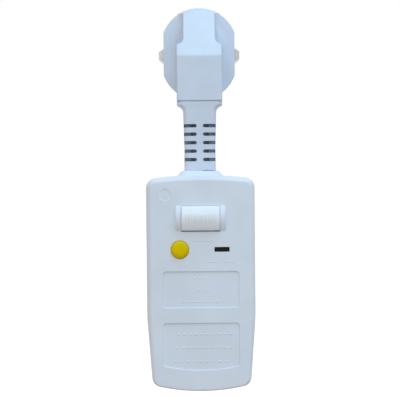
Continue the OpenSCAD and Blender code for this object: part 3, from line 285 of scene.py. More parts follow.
def outline(cuts, radius, step=7.0):
    points = [(-FAR, -FAR), (FAR, -FAR), (FAR, FAR), (-FAR, FAR)]
    for nx, nz, limit in cuts:
        points = cut_away(points, nx, nz, limit - radius)
    angles = []
    for a, b in zip(points, points[1:] + points[:1]):
        angles.append(math.degrees(math.atan2(a[0] - b[0], b[1] - a[1])))
    spots = []
    for i, corner in enumerate(points):
        start, turn = angles[i - 1], (angles[i] - angles[i - 1]) % 360
        parts = max(1, math.ceil(turn / step - 0.01))
        for k in range(parts + 1) if turn > SMALL_TURN else [0.5]:
            a = math.radians(start + turn * k / parts)
            spots.append((*corner, math.cos(a), math.sin(a)))
    return spots, radius


def disc(x, z, radius, count=48):
    turns = [2 * math.pi * k / count for k in range(count)]
    return [(x, z, math.cos(a), math.sin(a)) for a in turns], radius


def box_cuts(x, z, w, h):
    return [(1, 0, x + w / 2), (0, 1, z + h / 2), (-1, 0, w / 2 - x), (0, -1, h / 2 - z)]


def arc_cuts(x, z, radius, middle, spread, count):
    cuts = []
    for k in range(count + 1):
        a = math.radians(middle - spread + 2 * spread * k / count)
        nx, nz = math.cos(a), math.sin(a)
        cuts.append((nx, nz, nx * x + nz * z + radius))
    return cuts


def ring(shape, grow, y, low=1.0):
    # Edges that face down keep only the share low of the growth
    spots, radius = shape
    points = []
    for x, z, nx, nz in spots:
        r = radius + grow * (1 - (1 - low) * max(0, -nz))
        points.append(Vector(((x + r * nx) * MM, y * MM, (z + r * nz) * MM)))
    return points


sample = ring(outline(box_cuts(0, 0, 20, 10), 2), 0, 0)
width = 2 * max(p.x for p in sample) / MM
print("points of a 20 by 10 mm outline:", len(sample), "width mm:", round(width, 2))

# %% [markdown]
# Meshes are built with bmesh. Rings are skinned into walls, and a flat face with openings is filled between
# its loops. Each flat face gets a narrow support ring next to every rounded edge, because smooth shading
# would otherwise spill from the rounding over the whole flat.

# %% Skins, plates and finished objects
SHARP = math.radians(32)


def skin(bm, rings):
    loops = [[bm.verts.new(p) for p in points] for points in rings]
    for low, high in zip(loops, loops[1:]):
        for i in range(len(low)):
            j = (i + 1) % len(low)
            bm.faces.new((low[i], low[j], high[j], high[i]))
    return loops


def plate(bm, loops, normal):
    edges = []
    for loop in loops:
        for a, b in zip(loop, loop[1:] + loop[:1]):
            edges.append(bm.edges.get((a, b)) or bm.edges.new((a, b)))
    bmesh.ops.triangle_fill(bm, use_beauty=True, use_dissolve=False, edges=edges, normal=normal)


def shade(mesh):
    mesh.polygons.foreach_set("use_smooth", [True] * len(mesh.polygons))
    mesh.set_sharp_from_angle(angle=SHARP)


def finished(bm, name, finish, outward=True):
    if outward:
        bmesh.ops.recalc_face_normals(bm, faces=bm.faces)
    points = [v.co.copy() for v in bm.verts]
    bm.verts.index_update()
    faces = [[v.index for v in f.verts] for f in bm.faces]
    bm.free()
    mesh = bpy.data.meshes.new(name)
    mesh.from_pydata(points, [], faces)
    shade(mesh)
    mesh.materials.append(finish)
    piece = bpy.data.objects.new(name, mesh)
    scene.collection.objects.link(piece)
    return piece


def stands_for(piece, node, body):
    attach(piece, body)
    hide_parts(node)
    print(piece.name, "for", node, "faces", len(piece.data.polygons))


# %% [markdown]
# The covers' sizes follow the CAD model. Their edges are measured from its boxes where that is exact, and
# the shape of the outline uses the radii that the photograph gave.

# %% Sizes of the box
low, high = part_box("front_cover")
FRONT_Y, PART_Y, BACK_Y = -50.5, high.y / MM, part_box("rear_cover")[1].y / MM
TOP_Z, END_Z = -54.2, -146.5
BOX_W, CORNER_R, EDGE_R, WALL, DRAFT = (high.x - low.x) / MM, 4.5, 2.0, 2.0, 0.4
TOP_ARC, END_ARC, SIDE_ARC, SIDE_STEPS, TAPER, WAIST_Z = 190, 83, 100, 5, 4.3, -110.7
KEY_Z, LAMP_Z = -72.7, -86.0
BOSS_X, BOSS_ZS = 16.6, (-62.0, -137.9)

sides = []
for k in range(SIDE_STEPS + 1):
    a = math.radians(TAPER * k / SIDE_STEPS)
    reach = math.cos(a) * (BOX_W / 2 - SIDE_ARC) - math.sin(a) * WAIST_Z + SIDE_ARC
    sides += [(math.cos(a), -math.sin(a), reach), (-math.cos(a), -math.sin(a), reach)]
top = arc_cuts(0, TOP_Z - TOP_ARC, TOP_ARC, middle=90, spread=7.5, count=18)
end = arc_cuts(0, END_Z + END_ARC, END_ARC, middle=270, spread=17, count=26)
box_shape = outline(sides + top + end, CORNER_R)
print("box outline:", len(box_shape[0]), "points; parting plane at y", round(PART_Y, 2))

# %% [markdown]
# Front cover. The wall rises from the parting plane with a little draft, turns over a rounded edge and ends
# in the flat face. The face has a window for the key, a round hole for the test button, a slot for the lamp
# and two sunk panels with soft sides, the lower one with an arched end. A shallow round dimple sits in the
# upper left corner. A fine chamfer at the parting plane leaves the groove that shows where two shells meet.

# %% Steps of openings and rings of a shell
# EDGE_BOW over 1 flattens the rounded edge, and LOW_EDGE narrows it at the lower end
SUPPORT, EDGE_BOW, LOW_EDGE, GROOVE, INNER_R = 0.15, 1.35, 0.4, 0.3, 1.0
ROUND = [math.radians(a) for a in (0, 22.5, 45, 67.5, 90)]


def rounded_hole(fillet):
    steps = [(fillet + SUPPORT, FRONT_Y)]
    steps += [(fillet * (1 - math.sin(a)), FRONT_Y + fillet * (1 - math.cos(a))) for a in ROUND]
    return steps + [(0, FRONT_Y + WALL)]


def sunk_floor(half_w, depth):
    h = depth / 2
    steps = [(half_w + SUPPORT, FRONT_Y)]
    steps += [(half_w * (1 - math.sin(a)), FRONT_Y + h * (1 - math.cos(a))) for a in ROUND]
    steps += [(-half_w * (1 - math.cos(a)), FRONT_Y + (h + h * math.sin(a))) for a in ROUND[1:]]
    return steps + [(-half_w - SUPPORT, FRONT_Y + depth)]


def shell_rings(outer_y, inner_y):
    way = 1 if outer_y > PART_Y else -1
    turn = [math.radians(a) for a in range(0, 91, 9)]
    outside = [(-GROOVE, PART_Y), (0, PART_Y + way * GROOVE)]
    bent = [(math.cos(a) ** EDGE_BOW, math.sin(a) ** EDGE_BOW) for a in turn]
    outside += [(-DRAFT - EDGE_R * (1 - c), outer_y - way * EDGE_R * (1 - s)) for c, s in bent]
    outside.append((-DRAFT - EDGE_R - SUPPORT, outer_y))
    inside = [(-WALL, PART_Y)]
    for a in turn[::2]:
        inside.append((-WALL - DRAFT - INNER_R * (1 - math.cos(a)),
                       inner_y - way * INNER_R * (1 - math.sin(a))))
    rings = [ring(box_shape, g, y) for g, y in reversed(inside)]
    return rings + [ring(box_shape, g, y, LOW_EDGE) for g, y in outside]


print("steps of a hole:", len(rounded_hole(0.25)), "of a panel:", len(sunk_floor(0.2, 0.5)))

# %% Front cover shell
CEILING_Y = FRONT_Y + WALL
TEST_X = sum(corner.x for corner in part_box("test_button")) / 2 / MM
KEY_SLOT_W, KEY_SLOT_H, KEY_SLOT_R, KEY_SLOT_DROP, KEY_FILLET = 16.56, 11.0, 0.3, 0.18, 0.06
WINDOW_X, WINDOW_W, WINDOW_H, WINDOW_R = 9, 6.4, 2.0, 0.2
BUTTON_HOLE_R, FILLET = 3.94, 0.12
PANEL_W, PANEL_R, PANEL_SIDE, PANEL_D = 32.3, 1.3, 0.2, 0.5
PANEL_A_Z, PANEL_A_H, PANEL_B_Z, PANEL_B_H, PANEL_ARC = -103.05, 15.4, -127.3, 20.0, 72
DIMPLE_X, DIMPLE_Z, DIMPLE_R, DIMPLE_SIDE, DIMPLE_D = -15.1, -62.6, 2.4, 0.3, 0.15

key_hole = outline(box_cuts(0, KEY_Z - KEY_SLOT_DROP, KEY_SLOT_W, KEY_SLOT_H), KEY_SLOT_R)
button_hole = disc(TEST_X, LAMP_Z, BUTTON_HOLE_R, count=64)
window_hole = outline(box_cuts(WINDOW_X, LAMP_Z, WINDOW_W, WINDOW_H), WINDOW_R)
panel_a = outline(box_cuts(0, PANEL_A_Z, PANEL_W, PANEL_A_H), PANEL_R)
arched = arc_cuts(0, PANEL_B_Z - PANEL_B_H / 2 + PANEL_ARC, PANEL_ARC, middle=270, spread=13.5, count=20)
panel_b = outline(box_cuts(0, PANEL_B_Z, PANEL_W, PANEL_B_H) + arched, PANEL_R)
dimple = disc(DIMPLE_X, DIMPLE_Z, DIMPLE_R)

bm = bmesh.new()
loops = skin(bm, shell_rings(FRONT_Y, CEILING_Y))
ceiling, face = [loops[0]], [loops[-1]]
for shape, fillet in ((key_hole, KEY_FILLET), (button_hole, FILLET), (window_hole, FILLET)):
    made = skin(bm, [ring(shape, g, y) for g, y in rounded_hole(fillet)])
    face.append(made[0])
    ceiling.append(made[-1])
panel_steps, dimple_steps = sunk_floor(PANEL_SIDE, PANEL_D), sunk_floor(DIMPLE_SIDE, DIMPLE_D)
for shape, steps in ((panel_a, panel_steps), (panel_b, panel_steps), (dimple, dimple_steps)):
    made = skin(bm, [ring(shape, g, y, LOW_EDGE) for g, y in steps])
    face.append(made[0])
    bm.faces.new(made[-1])
plate(bm, face, (0, -1, 0))
plate(bm, ceiling, (0, 1, 0))
front_shell = finished(bm, "front_cover_shell", shell_abs)
print("front cover faces:", len(front_shell.data.polygons))

# %% [markdown]
# Rear cover. It is the same shell turned round, with a flat back. Both covers also share features that the
# parting plane splits or that run into the walls: screw bosses, the collar round the strain relief, the
# passage through it and the hole for the cord bush. A boolean is the plain way to join and cut those. Each
# blank is a closed stack of rings, and the edges that a boolean leaves lie where other pieces hide them.

# %% Rear cover shell
FLOOR_Y = BACK_Y - WALL
bm = bmesh.new()
loops = skin(bm, shell_rings(BACK_Y, FLOOR_Y))
plate(bm, [loops[-1]], (0, 1, 0))
plate(bm, [loops[0]], (0, -1, 0))
rear_shell = finished(bm, "rear_cover_shell", shell_abs)
print("rear cover faces:", len(rear_shell.data.polygons))

# %% Blanks and booleans


def across(shape, grow, z):
    spots, radius = shape
    r = radius + grow
    return [Vector(((x + r * nx) * MM, (PART_Y + y + r * ny) * MM, z * MM)) for x, y, nx, ny in spots]


def blank(rings):
    bm = bmesh.new()
    made = skin(bm, rings)
    bm.faces.new(made[0])
    bm.faces.new(made[-1])
    return finished(bm, "blank", shell_abs)


def applied(piece, step):
    result = bpy.data.meshes.new_from_object(piece.evaluated_get(bpy.context.evaluated_depsgraph_get()))
    piece.modifiers.remove(step)
    piece.data = result
    shade(result)
    return piece


def boolean(piece, tool, operation):
    change = piece.modifiers.new("cut", "BOOLEAN")
    change.operation, change.object, change.solver = operation, tool, "EXACT"
    applied(piece, change)
    bpy.data.objects.remove(tool)


def open_edges(piece):
    bm = bmesh.new()
    bm.from_mesh(piece.data)
    count = sum(1 for edge in bm.edges if len(edge.link_faces) != 2)
    bm.free()
    return count


print("open edges before:", open_edges(front_shell), open_edges(rear_shell))

# %% Bosses and screw wells
BOSS_R, WELL_R, HOLE_R, PILOT_R = 3.4, 3.0, 1.6, 1.3
PILOT_D, WELL_D, WELL_ROUND, OVERLAP, PAST = 9, 8, 0.35, 0.5, 1
for x, z in [(sx * BOSS_X, z) for sx in (-1, 1) for z in BOSS_ZS]:
    boss, well, hole, pilot = (disc(x, z, r) for r in (BOSS_R, WELL_R, HOLE_R, PILOT_R))
    boolean(front_shell, blank([ring(boss, 0, CEILING_Y - OVERLAP), ring(boss, 0, PART_Y)]), "UNION")
    drill = blank([ring(pilot, 0, PART_Y - PILOT_D), ring(pilot, 0, PART_Y + PAST)])
    boolean(front_shell, drill, "DIFFERENCE")
    boolean(rear_shell, blank([ring(boss, 0, PART_Y), ring(boss, 0, FLOOR_Y + OVERLAP)]), "UNION")
    steps = [ring(hole, 0, PART_Y - PAST), ring(hole, 0, BACK_Y - WELL_D), ring(well, 0, BACK_Y - WELL_D)]
    for a in ROUND:
        steps.append(ring(well, WELL_ROUND * (1 - math.cos(a)), BACK_Y - WELL_ROUND * (1 - math.sin(a))))
    boolean(rear_shell, blank(steps + [ring(well, WELL_ROUND, BACK_Y + PAST)]), "DIFFERENCE")
print("open edges with bosses:", open_edges(front_shell), open_edges(rear_shell))

# %% Collar, passage and bush hole
CLEAR = 30.0
RIM_W, RIM_D, RIM_R, PASSAGE_W, PASSAGE_D, PASSAGE_R, BUSH_HOLE_R = 15.6, 14.6, 2.4, 14.4, 13.4, 2.2, 5.2
THROUGH_TOP, THROUGH_END = (TOP_Z - 4, TOP_Z + 5), (END_Z - 2, END_Z + 5)
# Height over the top of the box, and growth of the rim's outline
COLLAR_STEPS = ((-1.6, 2.9), (-0.5, 2.3), (0.0, 1.95), (0.6, 1.3), (1.45, 0.55), (1.75, 0.25), (1.85, 0.0))
collar_rim = outline(box_cuts(0, 0, RIM_W, RIM_D), RIM_R)
passage = outline(box_cuts(0, 0, PASSAGE_W, PASSAGE_D), PASSAGE_R)
bush_hole = disc(0, 0, BUSH_HOLE_R)
for shell, way in ((front_shell, -1), (rear_shell, 1)):
    half = outline(box_cuts(0, way * CLEAR, 2 * CLEAR, 2 * CLEAR), 0.5)
    collar = blank([across(collar_rim, g, TOP_Z + z) for z, g in COLLAR_STEPS])
    boolean(collar, blank([across(half, 0, z) for z in THROUGH_TOP]), "INTERSECT")
    boolean(shell, collar, "UNION")
    boolean(shell, blank([across(passage, 0, z) for z in THROUGH_TOP]), "DIFFERENCE")
    boolean(shell, blank([across(bush_hole, 0, z) for z in THROUGH_END]), "DIFFERENCE")
print("open edges:", open_edges(front_shell), open_edges(rear_shell))

# %% [markdown]
# Two raised cheeks stand beside the reset key and follow its crown. Each one is a short prism of the crown's
# side view. A bevel rounds its outer arc more than its inner one, as the picture shows.

# %% Cheeks beside the key
CHEEK_H, CHEEK_RISE, CHEEK_FOOT, CHEEK_IN, CHEEK_OUT = 10.8, 2.0, 0.9, 8.28, 10.55
OUTER_ROUND, INNER_ROUND, ARC_STEPS = 0.8, 0.2, 20


def crown_arc(height, rise):
    r = (height * height / 4 + rise * rise) / (2 * rise)
    half = math.asin(height / 2 / r)
    spots = []
    for k in range(ARC_STEPS + 1):
        a = -half + 2 * half * k / ARC_STEPS
        spots.append((FRONT_Y - rise + r * (1 - math.cos(a)), KEY_Z + r * math.sin(a)))
    return spots


def cheek(bm, way):
    arc = crown_arc(CHEEK_H, CHEEK_RISE)
    foot = [(FRONT_Y + CHEEK_FOOT, KEY_Z + CHEEK_H / 2), (FRONT_Y + CHEEK_FOOT, KEY_Z - CHEEK_H / 2)]
    sides = []
    for x in (way * CHEEK_IN, way * CHEEK_OUT):
        sides.append([bm.verts.new((x * MM, y * MM, z * MM)) for y, z in arc + foot])
    bm.faces.new(sides[0])
    bm.faces.new(sides[1][::-1])
    for i in range(len(sides[0])):
        j = (i + 1) % len(sides[0])
        bm.faces.new((sides[0][i], sides[1][i], sides[1][j], sides[0][j]))
    rims = []
    for side, width in ((sides[1], OUTER_ROUND), (sides[0], INNER_ROUND)):
        arc_edges = [bm.edges.get((side[i], side[i + 1])) for i in range(len(arc) - 1)]
        rims.append((arc_edges, width))
    for edges, width in rims:
        bmesh.ops.bevel(bm, geom=edges, offset=width * MM, offset_type="OFFSET", segments=5, profile=0.5,
                        affect="EDGES", clamp_overlap=False)


bm = bmesh.new()
cheek(bm, 1)
cheek(bm, -1)
cheeks = finished(bm, "key_cheeks", shell_abs)
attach(cheeks, "housing")
stands_for(front_shell, "front_cover", "housing")
stands_for(rear_shell, "rear_cover", "housing")
print("cheek faces:", len(cheeks.data.polygons))

# %% [markdown]
# Pieces with exact CAD faces keep their shape: the key, the lens, the bush, the screws, the plug, its pins
# and its earth clips. A CAD solid has knife edges, and real mouldings and stampings have none, so a merged
# copy gets its edges rounded. Each pass gives a radius in millimetres, a number of segments and a small rule
# that picks the edges, so that thin slots inside a piece stay clear.

# %% Rounded copies of CAD pieces
MERGE_MM, NEARLY_FLAT, CLEAR_EDGE, PROUD_D = 0.002, math.radians(0.6), math.radians(24), 0.6


def flat_faced(piece):
    flat = piece.modifiers.new("flat_faces", "WEIGHTED_NORMAL")
    flat.keep_sharp = True
    return piece


def softened(node, name, passes):
    bm = bmesh.new()
    bm.from_mesh(nodes[node].data)
    bmesh.ops.remove_doubles(bm, verts=bm.verts, dist=MERGE_MM * MM)
    bmesh.ops.dissolve_limit(bm, angle_limit=NEARLY_FLAT, verts=bm.verts, edges=bm.edges)
    for width, segments, pick in passes:
        chosen = []
        for edge in bm.edges:
            if edge.is_convex and edge.calc_face_angle(0) > CLEAR_EDGE:
                if all(pick(v.co / MM) for v in edge.verts):
                    chosen.append(edge)
        bmesh.ops.bevel(bm, geom=chosen, offset=width * MM, offset_type="OFFSET", segments=segments,
                        profile=0.5, affect="EDGES", clamp_overlap=False, loop_slide=True)
    return flat_faced(finished(bm, name, FINISH[SLOT[node]], outward=False))


def anywhere(p):
    return True


def proud(p):
    return p.y < FRONT_Y + PROUD_D


key_cap = softened("reset_key", "reset_key_cap", [(0.45, 4, proud)])
stands_for(key_cap, "reset_key", "reset_key")
lens = softened("window_lens", "window_lens_bevelled", [(0.12, 2, proud)])
stands_for(lens, "window_lens", "housing")
bush = softened("cord_bush", "cord_bush_rounded", [(0.3, 3, anywhere)])
stands_for(bush, "cord_bush", "housing")
screws = softened("cover_screws", "cover_screws_rounded", [(0.1, 2, anywhere)])
stands_for(screws, "cover_screws", "housing")

# %% [markdown]
# The test button is a turned shape, so rings of one circle make it: a stem, a flange that keeps it in the
# cover, a straight side and a shallow dome with a well-rounded rim.

# %% Test button
near, far = (p.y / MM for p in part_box("test_button"))
BUTTON_R, RIM, RIM_TURN, RIM_STEPS, DOME_STEPS = 3.88, 2.0, math.radians(82), 8, 7
STEM_R, KEEPER_R, KEEPER_BACK, KEEPER_FRONT = 1.4, 4.5, -47.2, -48.3
dome_r = BUTTON_R - RIM * (1 - math.cos(RIM_TURN))
dome_h = dome_r / 2 / math.tan(RIM_TURN)
profile = [(STEM_R, far), (STEM_R, KEEPER_BACK), (KEEPER_R, KEEPER_BACK), (KEEPER_R, KEEPER_FRONT),
           (BUTTON_R, KEEPER_FRONT)]
for k in range(RIM_STEPS + 1):
    a = RIM_TURN * k / RIM_STEPS
    profile.append((BUTTON_R - RIM * (1 - math.cos(a)),
                    near + dome_h + RIM * (math.sin(RIM_TURN) - math.sin(a))))
for k in range(1, DOME_STEPS):
    t = 1 - k / DOME_STEPS
    profile.append((dome_r * t, near + dome_h * t ** 2))
bm = bmesh.new()
made = skin(bm, [ring(disc(TEST_X, LAMP_Z, r, count=72), 0, y) for r, y in profile])
bm.faces.new(made[0])
bm.faces.new(made[-1])
button_cap = finished(bm, "test_button_cap", button_abs)
stands_for(button_cap, "test_button", "test_button")

# %% [markdown]
# The plug is one soft moulding. Its grip bar is a wedge with a clear ridge, and two wings run into it in a
# hollow curve. The edges that a hand meets are rounded by about half a millimetre; the side that goes into
# the socket has a smaller round on its rim. At the top, bar and curves fall away under one sloping arch, so
# that the plug keeps a round outline: a boolean leaves only what lies under that arch.

# %% Plug, pins and earth clips
GRIP_R, GRIP_RISE, NOSE_Y, BAR_FRONT_Y = 16.8, 3.5, -24.0, -28.4
FLAT_X, SOCKET_RIM_R, PIN_TIP_Y, NEAR, VERY_NEAR = 15.7, 14.5, 16, 0.05, 0.01
CROWN_Y, CROWN_SLOPE, CROWN_CUT = -24.3, 0.6, 1.6


def bar_front(p):
    return p.y < BAR_FRONT_Y


def wing_rim(p):
    on_arc = math.hypot(p.x, max(0, abs(p.z) - GRIP_RISE)) > GRIP_R - NEAR
    return abs(p.y - NOSE_Y) < NEAR and (on_arc or abs(p.x) > FLAT_X)


def socket_rim(p):
    return abs(p.y) < VERY_NEAR and math.hypot(p.x, p.z) > SOCKET_RIM_R


def pin_tip(p):
    return p.y > PIN_TIP_Y


plug = softened("plug_body", "plug_body_soft",
                [(0.55, 5, bar_front), (0.45, 4, wing_rim), (0.3, 3, socket_rim)])
# Place along Y, and how much of the grip's radius the arch takes off there
CROWN_STEPS = [(CLEAR, -1.0), (CROWN_Y + NEAR, -1.0), (CROWN_Y, 0.0),
               (CROWN_Y - CROWN_CUT / CROWN_SLOPE, CROWN_CUT), (-2 * CLEAR, CROWN_CUT)]
half_turn = [math.radians(a) for a in range(0, 181, 3)]
arches = []
for y, cut in CROWN_STEPS:
    r = GRIP_R - cut
    arch = [(r * math.cos(a), GRIP_RISE + r * math.sin(a)) for a in half_turn]
    arch += [(-CLEAR, GRIP_RISE), (-CLEAR, -CLEAR), (CLEAR, -CLEAR), (CLEAR, GRIP_RISE)]
    arches.append([Vector((x * MM, y * MM, z * MM)) for x, z in arch])
plug.modifiers.clear()
boolean(plug, blank(arches), "INTERSECT")
flat_faced(plug)
print("plug open edges:", open_edges(plug))
stands_for(plug, "plug_body", "housing")
clips = softened("earth_strap", "earth_clips_rounded", [(0.1, 2, anywhere)])
stands_for(clips, "earth_strap", "housing")
for node in ("live_pin", "neutral_pin"):
    pin = softened(node, node + "_rounded", [(0.35, 4, pin_tip)])
    stands_for(pin, node, "housing")

# %% [markdown]
# Where the bar grows wider at its shoulders, the hollow curve on each wing has to move outwards with it. A
# closed strip on each side carries the curve over: one quarter circle at every height, which moves sideways
# along a smooth step. The step is long, so that light runs over it without a break.

# %% Blends at the bar's shoulders
SHOULDER_Z, WING_R, BAR_W, BAR_TOP_W, BLEND_H, BLEND_STEPS = 2.6, 3.0, 19.6, 14.0, 12.0, 30
INTO_BAR = 1
quarter = [math.radians(a) for a in range(0, 91, 6)]
hollow = [(WING_R * (1 - math.cos(a)), NOSE_Y - WING_R * (1 - math.sin(a))) for a in quarter]
bm = bmesh.new()
for side in (-1, 1):
    strip = []
    for k in range(BLEND_STEPS + 1):
        t = k / BLEND_STEPS
        x = BAR_W / 2 - (BAR_W - BAR_TOP_W) / 2 * t * t * (3 - 2 * t)
        z = SHOULDER_Z + t * BLEND_H
        sunk_y, sunk_x = NOSE_Y + OVERLAP, BAR_TOP_W / 2 - INTO_BAR - x
        back = [(WING_R, sunk_y), (sunk_x, sunk_y), (sunk_x, NOSE_Y - WING_R)]
        strip.append([Vector((side * (x + d) * MM, y * MM, z * MM)) for d, y in hollow + back])
    made = skin(bm, strip)
    bm.faces.new(made[0])
    bm.faces.new(made[-1])
blends = finished(bm, "wing_blends", soft_pvc)
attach(blends, "housing")
print("blend faces:", len(blends.data.polygons), "open edges:", open_edges(blends))

# %% [markdown]
# The strain relief is a soft boot with five rows of slots that let it bend. The boot is skinned from rounded
# rectangles that flare into the plug, round a bore for the flex. A fine gap shows at its foot, where it
# leaves the collar. The slots run out through the sides. They repeat, so Geometry Nodes cut them: a line of
# points, one slot cutter on each, and a boolean. Rows and pitch are inputs of the tree.

# %% Boot blank
BAR_DROP, HEAD_H, FLARE_H, FLARE_TURN, BOOT_RUN = 22.2, 1.5, 3.0, 60, 16.0
BOOT_W, BOOT_TOP_W, BOOT_D, BOOT_R, HEAD_W, HEAD_D = 13.6, 14.3, 13.0, 2.0, 19.6, 14.8
FLANGE_Z, FLANGE_T, FLANGE_OUT, FOOT_H, WAIST_IN, BORE_R = -56.8, 2.0, 3.4, 2.1, 0.2, 4.0
# Drop below the plug's bar and inset, for the rounded top of the head
HEAD_STEPS = ((0.35, 0.0), (0.1, 0.2), (0.0, 0.6))
head_z, flare = -BAR_DROP - HEAD_H, math.radians(FLARE_TURN)
flange_w, flange_d = BOOT_W + FLANGE_OUT, BOOT_D + FLANGE_OUT
levels = [(FLANGE_Z - FLANGE_T, flange_w, flange_d), (FLANGE_Z, flange_w, flange_d),
          (FLANGE_Z, BOOT_W, BOOT_D), (TOP_Z + FOOT_H, BOOT_W, BOOT_D),
          (head_z - FLARE_H - BOOT_RUN, BOOT_W - WAIST_IN, BOOT_D)]
for a in range(0, FLARE_TURN + 1, 6):
    t = math.radians(a)
    out = (1 - math.cos(t)) / (1 - math.cos(flare))
    up = math.sin(t) / math.sin(flare)
    levels.append((head_z - FLARE_H * (1 - up), BOOT_TOP_W + (HEAD_W - BOOT_TOP_W) * out,
                   BOOT_D + (HEAD_D - BOOT_D) * (BOOT_RUN + FLARE_H * up) / (BOOT_RUN + FLARE_H)))
levels += [(-BAR_DROP - drop, HEAD_W - inset, HEAD_D - inset) for drop, inset in HEAD_STEPS]
rings = [across(outline(box_cuts(0, 0, w, d), BOOT_R, step=10), 0, z) for z, w, d in levels]
turns = [math.atan2(p.y / MM - PART_Y, p.x / MM) for p in rings[0]]
circle = [(BORE_R * math.cos(a), PART_Y + BORE_R * math.sin(a)) for a in turns]
bore = []
for z in (-BAR_DROP, FLANGE_Z - FLANGE_T):
    bore.append([Vector((x * MM, y * MM, z * MM)) for x, y in circle])
bm = bmesh.new()
loops = skin(bm, rings + bore)
for i in range(len(loops[0])):
    j = (i + 1) % len(loops[0])
    bm.faces.new((loops[-1][i], loops[-1][j], loops[0][j], loops[0][i]))
boot = finished(bm, "strain_relief_boot", soft_pvc)
GAP_Z, GAP_H, GAP_D, GAP_R, GAP_X = TOP_Z + COLLAR_STEPS[-1][0], 0.3, 2.0, 0.2, (1.2, 8.0)
gap_plan = outline(box_cuts(sum(GAP_X) / 2, -BOOT_D / 2, GAP_X[1] - GAP_X[0], GAP_D), GAP_R)
boolean(boot, blank([across(gap_plan, 0, z) for z in (GAP_Z, GAP_Z + GAP_H)]), "DIFFERENCE")
print("boot levels:", len(levels), "faces:", len(boot.data.polygons))

# %% Slot cutter
SLOT_H, WEB_W, SLOT_ROWS, SLOT_PITCH, SLOT_DROP = 1.5, 2.7, 5, 3.65, 10.68
SLOT_FLOOR, SLOT_SKIN, SLOT_SPREAD = 0.6, 0.35, 0.25
nose = []
for a in range(90, 271, 15):
    t = math.radians(a)
    nose.append(((WEB_W + SLOT_H) / 2 + SLOT_H / 2 * math.cos(t), SLOT_H / 2 * math.sin(t)))
bm = bmesh.new()
for sx in (-1, 1):
    for sy in (-1, 1):
        walls = []
        for y in (SLOT_FLOOR, BOOT_D):
            end = BOOT_W / 2 - SLOT_SKIN + SLOT_SPREAD * (y - SLOT_FLOOR)
            side = nose + [(end, -SLOT_H / 2), (end, SLOT_H / 2)]
            walls.append([Vector((sx * x * MM, sy * y * MM, z * MM)) for x, z in side])
        made = skin(bm, walls)
        bm.faces.new(made[0])
        bm.faces.new(made[1])
cutter = finished(bm, "slot_cutter", soft_pvc)
print("cutter faces:", len(cutter.data.polygons))

# %% Slots by Geometry Nodes


def new_tree(name, inputs):
    tree = bpy.data.node_groups.new(name, "GeometryNodeTree")
    tree.interface.new_socket("Geometry", in_out="OUTPUT", socket_type="NodeSocketGeometry")
    tree.interface.new_socket("Geometry", in_out="INPUT", socket_type="NodeSocketGeometry")
    for label, kind in inputs:
        tree.interface.new_socket(label, in_out="INPUT", socket_type="NodeSocket" + kind)
    return tree, tree.nodes.new("NodeGroupInput").outputs


def grown(piece, tree, values):
    step = piece.modifiers.new(tree.name, "NODES")
    step.node_group = tree
    for item in tree.interface.items_tree:
        if item.in_out == "INPUT" and item.name in values:
            step[item.identifier] = values[item.name]
    return applied(piece, step)


tree, given = new_tree("slot_rows", [("Rows", "Int"), ("Pitch", "Float"), ("First row", "Vector"),
                                     ("Cutter", "Object"), ("Finish", "Material")])
pitch = add(tree, "ShaderNodeCombineXYZ", {"Z": given["Pitch"]})
line = add(tree, "GeometryNodeMeshLine",
           {"Count": given["Rows"], "Start Location": given["First row"], "Offset": pitch.outputs["Vector"]},
           mode="OFFSET")
shape = add(tree, "GeometryNodeObjectInfo", {"Object": given["Cutter"]})
copies = add(tree, "GeometryNodeInstanceOnPoints",
             {"Points": line.outputs["Mesh"], "Instance": shape.outputs["Geometry"]})
blanks = add(tree, "GeometryNodeRealizeInstances", {"Geometry": copies.outputs["Instances"]})
cut = add(tree, "GeometryNodeMeshBoolean",
          {"Mesh 1": given["Geometry"], "Mesh 2": blanks.outputs["Geometry"]},
          operation="DIFFERENCE", solver="EXACT")
whole = add(tree, "GeometryNodeRealizeInstances", {"Geometry": cut.outputs["Mesh"]})
coat = add(tree, "GeometryNodeSetMaterial",
           {"Geometry": whole.outputs["Geometry"], "Material": given["Finish"]})
add(tree, "NodeGroupOutput", {"Geometry": coat.outputs["Geometry"]})
first_row = (0, PART_Y * MM, (-BAR_DROP - SLOT_DROP) * MM)
grown(boot, tree, {"Rows": SLOT_ROWS, "Pitch": -SLOT_PITCH * MM, "First row": first_row, "Cutter": cutter,
                   "Finish": soft_pvc})
bpy.data.objects.remove(cutter)
stands_for(boot, "strain_relief", "housing")

# %% [markdown]
# Springs and the test leaf. The CAD model has them rigid, as they are at rest, so a pressed key or button
# would cut through them. Each one is swapped for a copy of its mesh, and the CAD node is hidden. The
# leaf's copy is cut across at even steps along its length.

# %% Copies of the springs and the leaf
LEAF_CUTS = 11


def flexing(node, axis, cuts=0):
    low, high = (corner[axis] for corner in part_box(node))
    bm = bmesh.new()
    bm.from_mesh(nodes[node].data)
    normal = [float(k == axis) for k in range(3)]
    for k in range(1, cuts + 1):
        place = [n * (low + (high - low) * k / (cuts + 1)) for n in normal]
        everything = bm.verts[:] + bm.edges[:] + bm.faces[:]
        bmesh.ops.bisect_plane(bm, geom=everything, plane_co=place, plane_no=normal)
    piece = finished(bm, node + "_flexing", FINISH[SLOT[node]], outward=False)
    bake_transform(piece)
    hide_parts(node)
    print(piece.name, "for", node, "faces", len(piece.data.polygons))


flexing("reset_spring", axis=1)
flexing("opening_springs", axis=1)
flexing("plunger_spring", axis=2)
flexing("test_leaf", axis=2, cuts=LEAF_CUTS)

# %% [markdown]
# Raised marks. A row of grip ribs runs across the key, and rows of short low bars lie on the face and in the
# panels. Each of them could be modelled by hand, but they all repeat one shape, so one tree makes them all:
# a line of points with one rounded bar on each, whose length changes by a seeded random value.

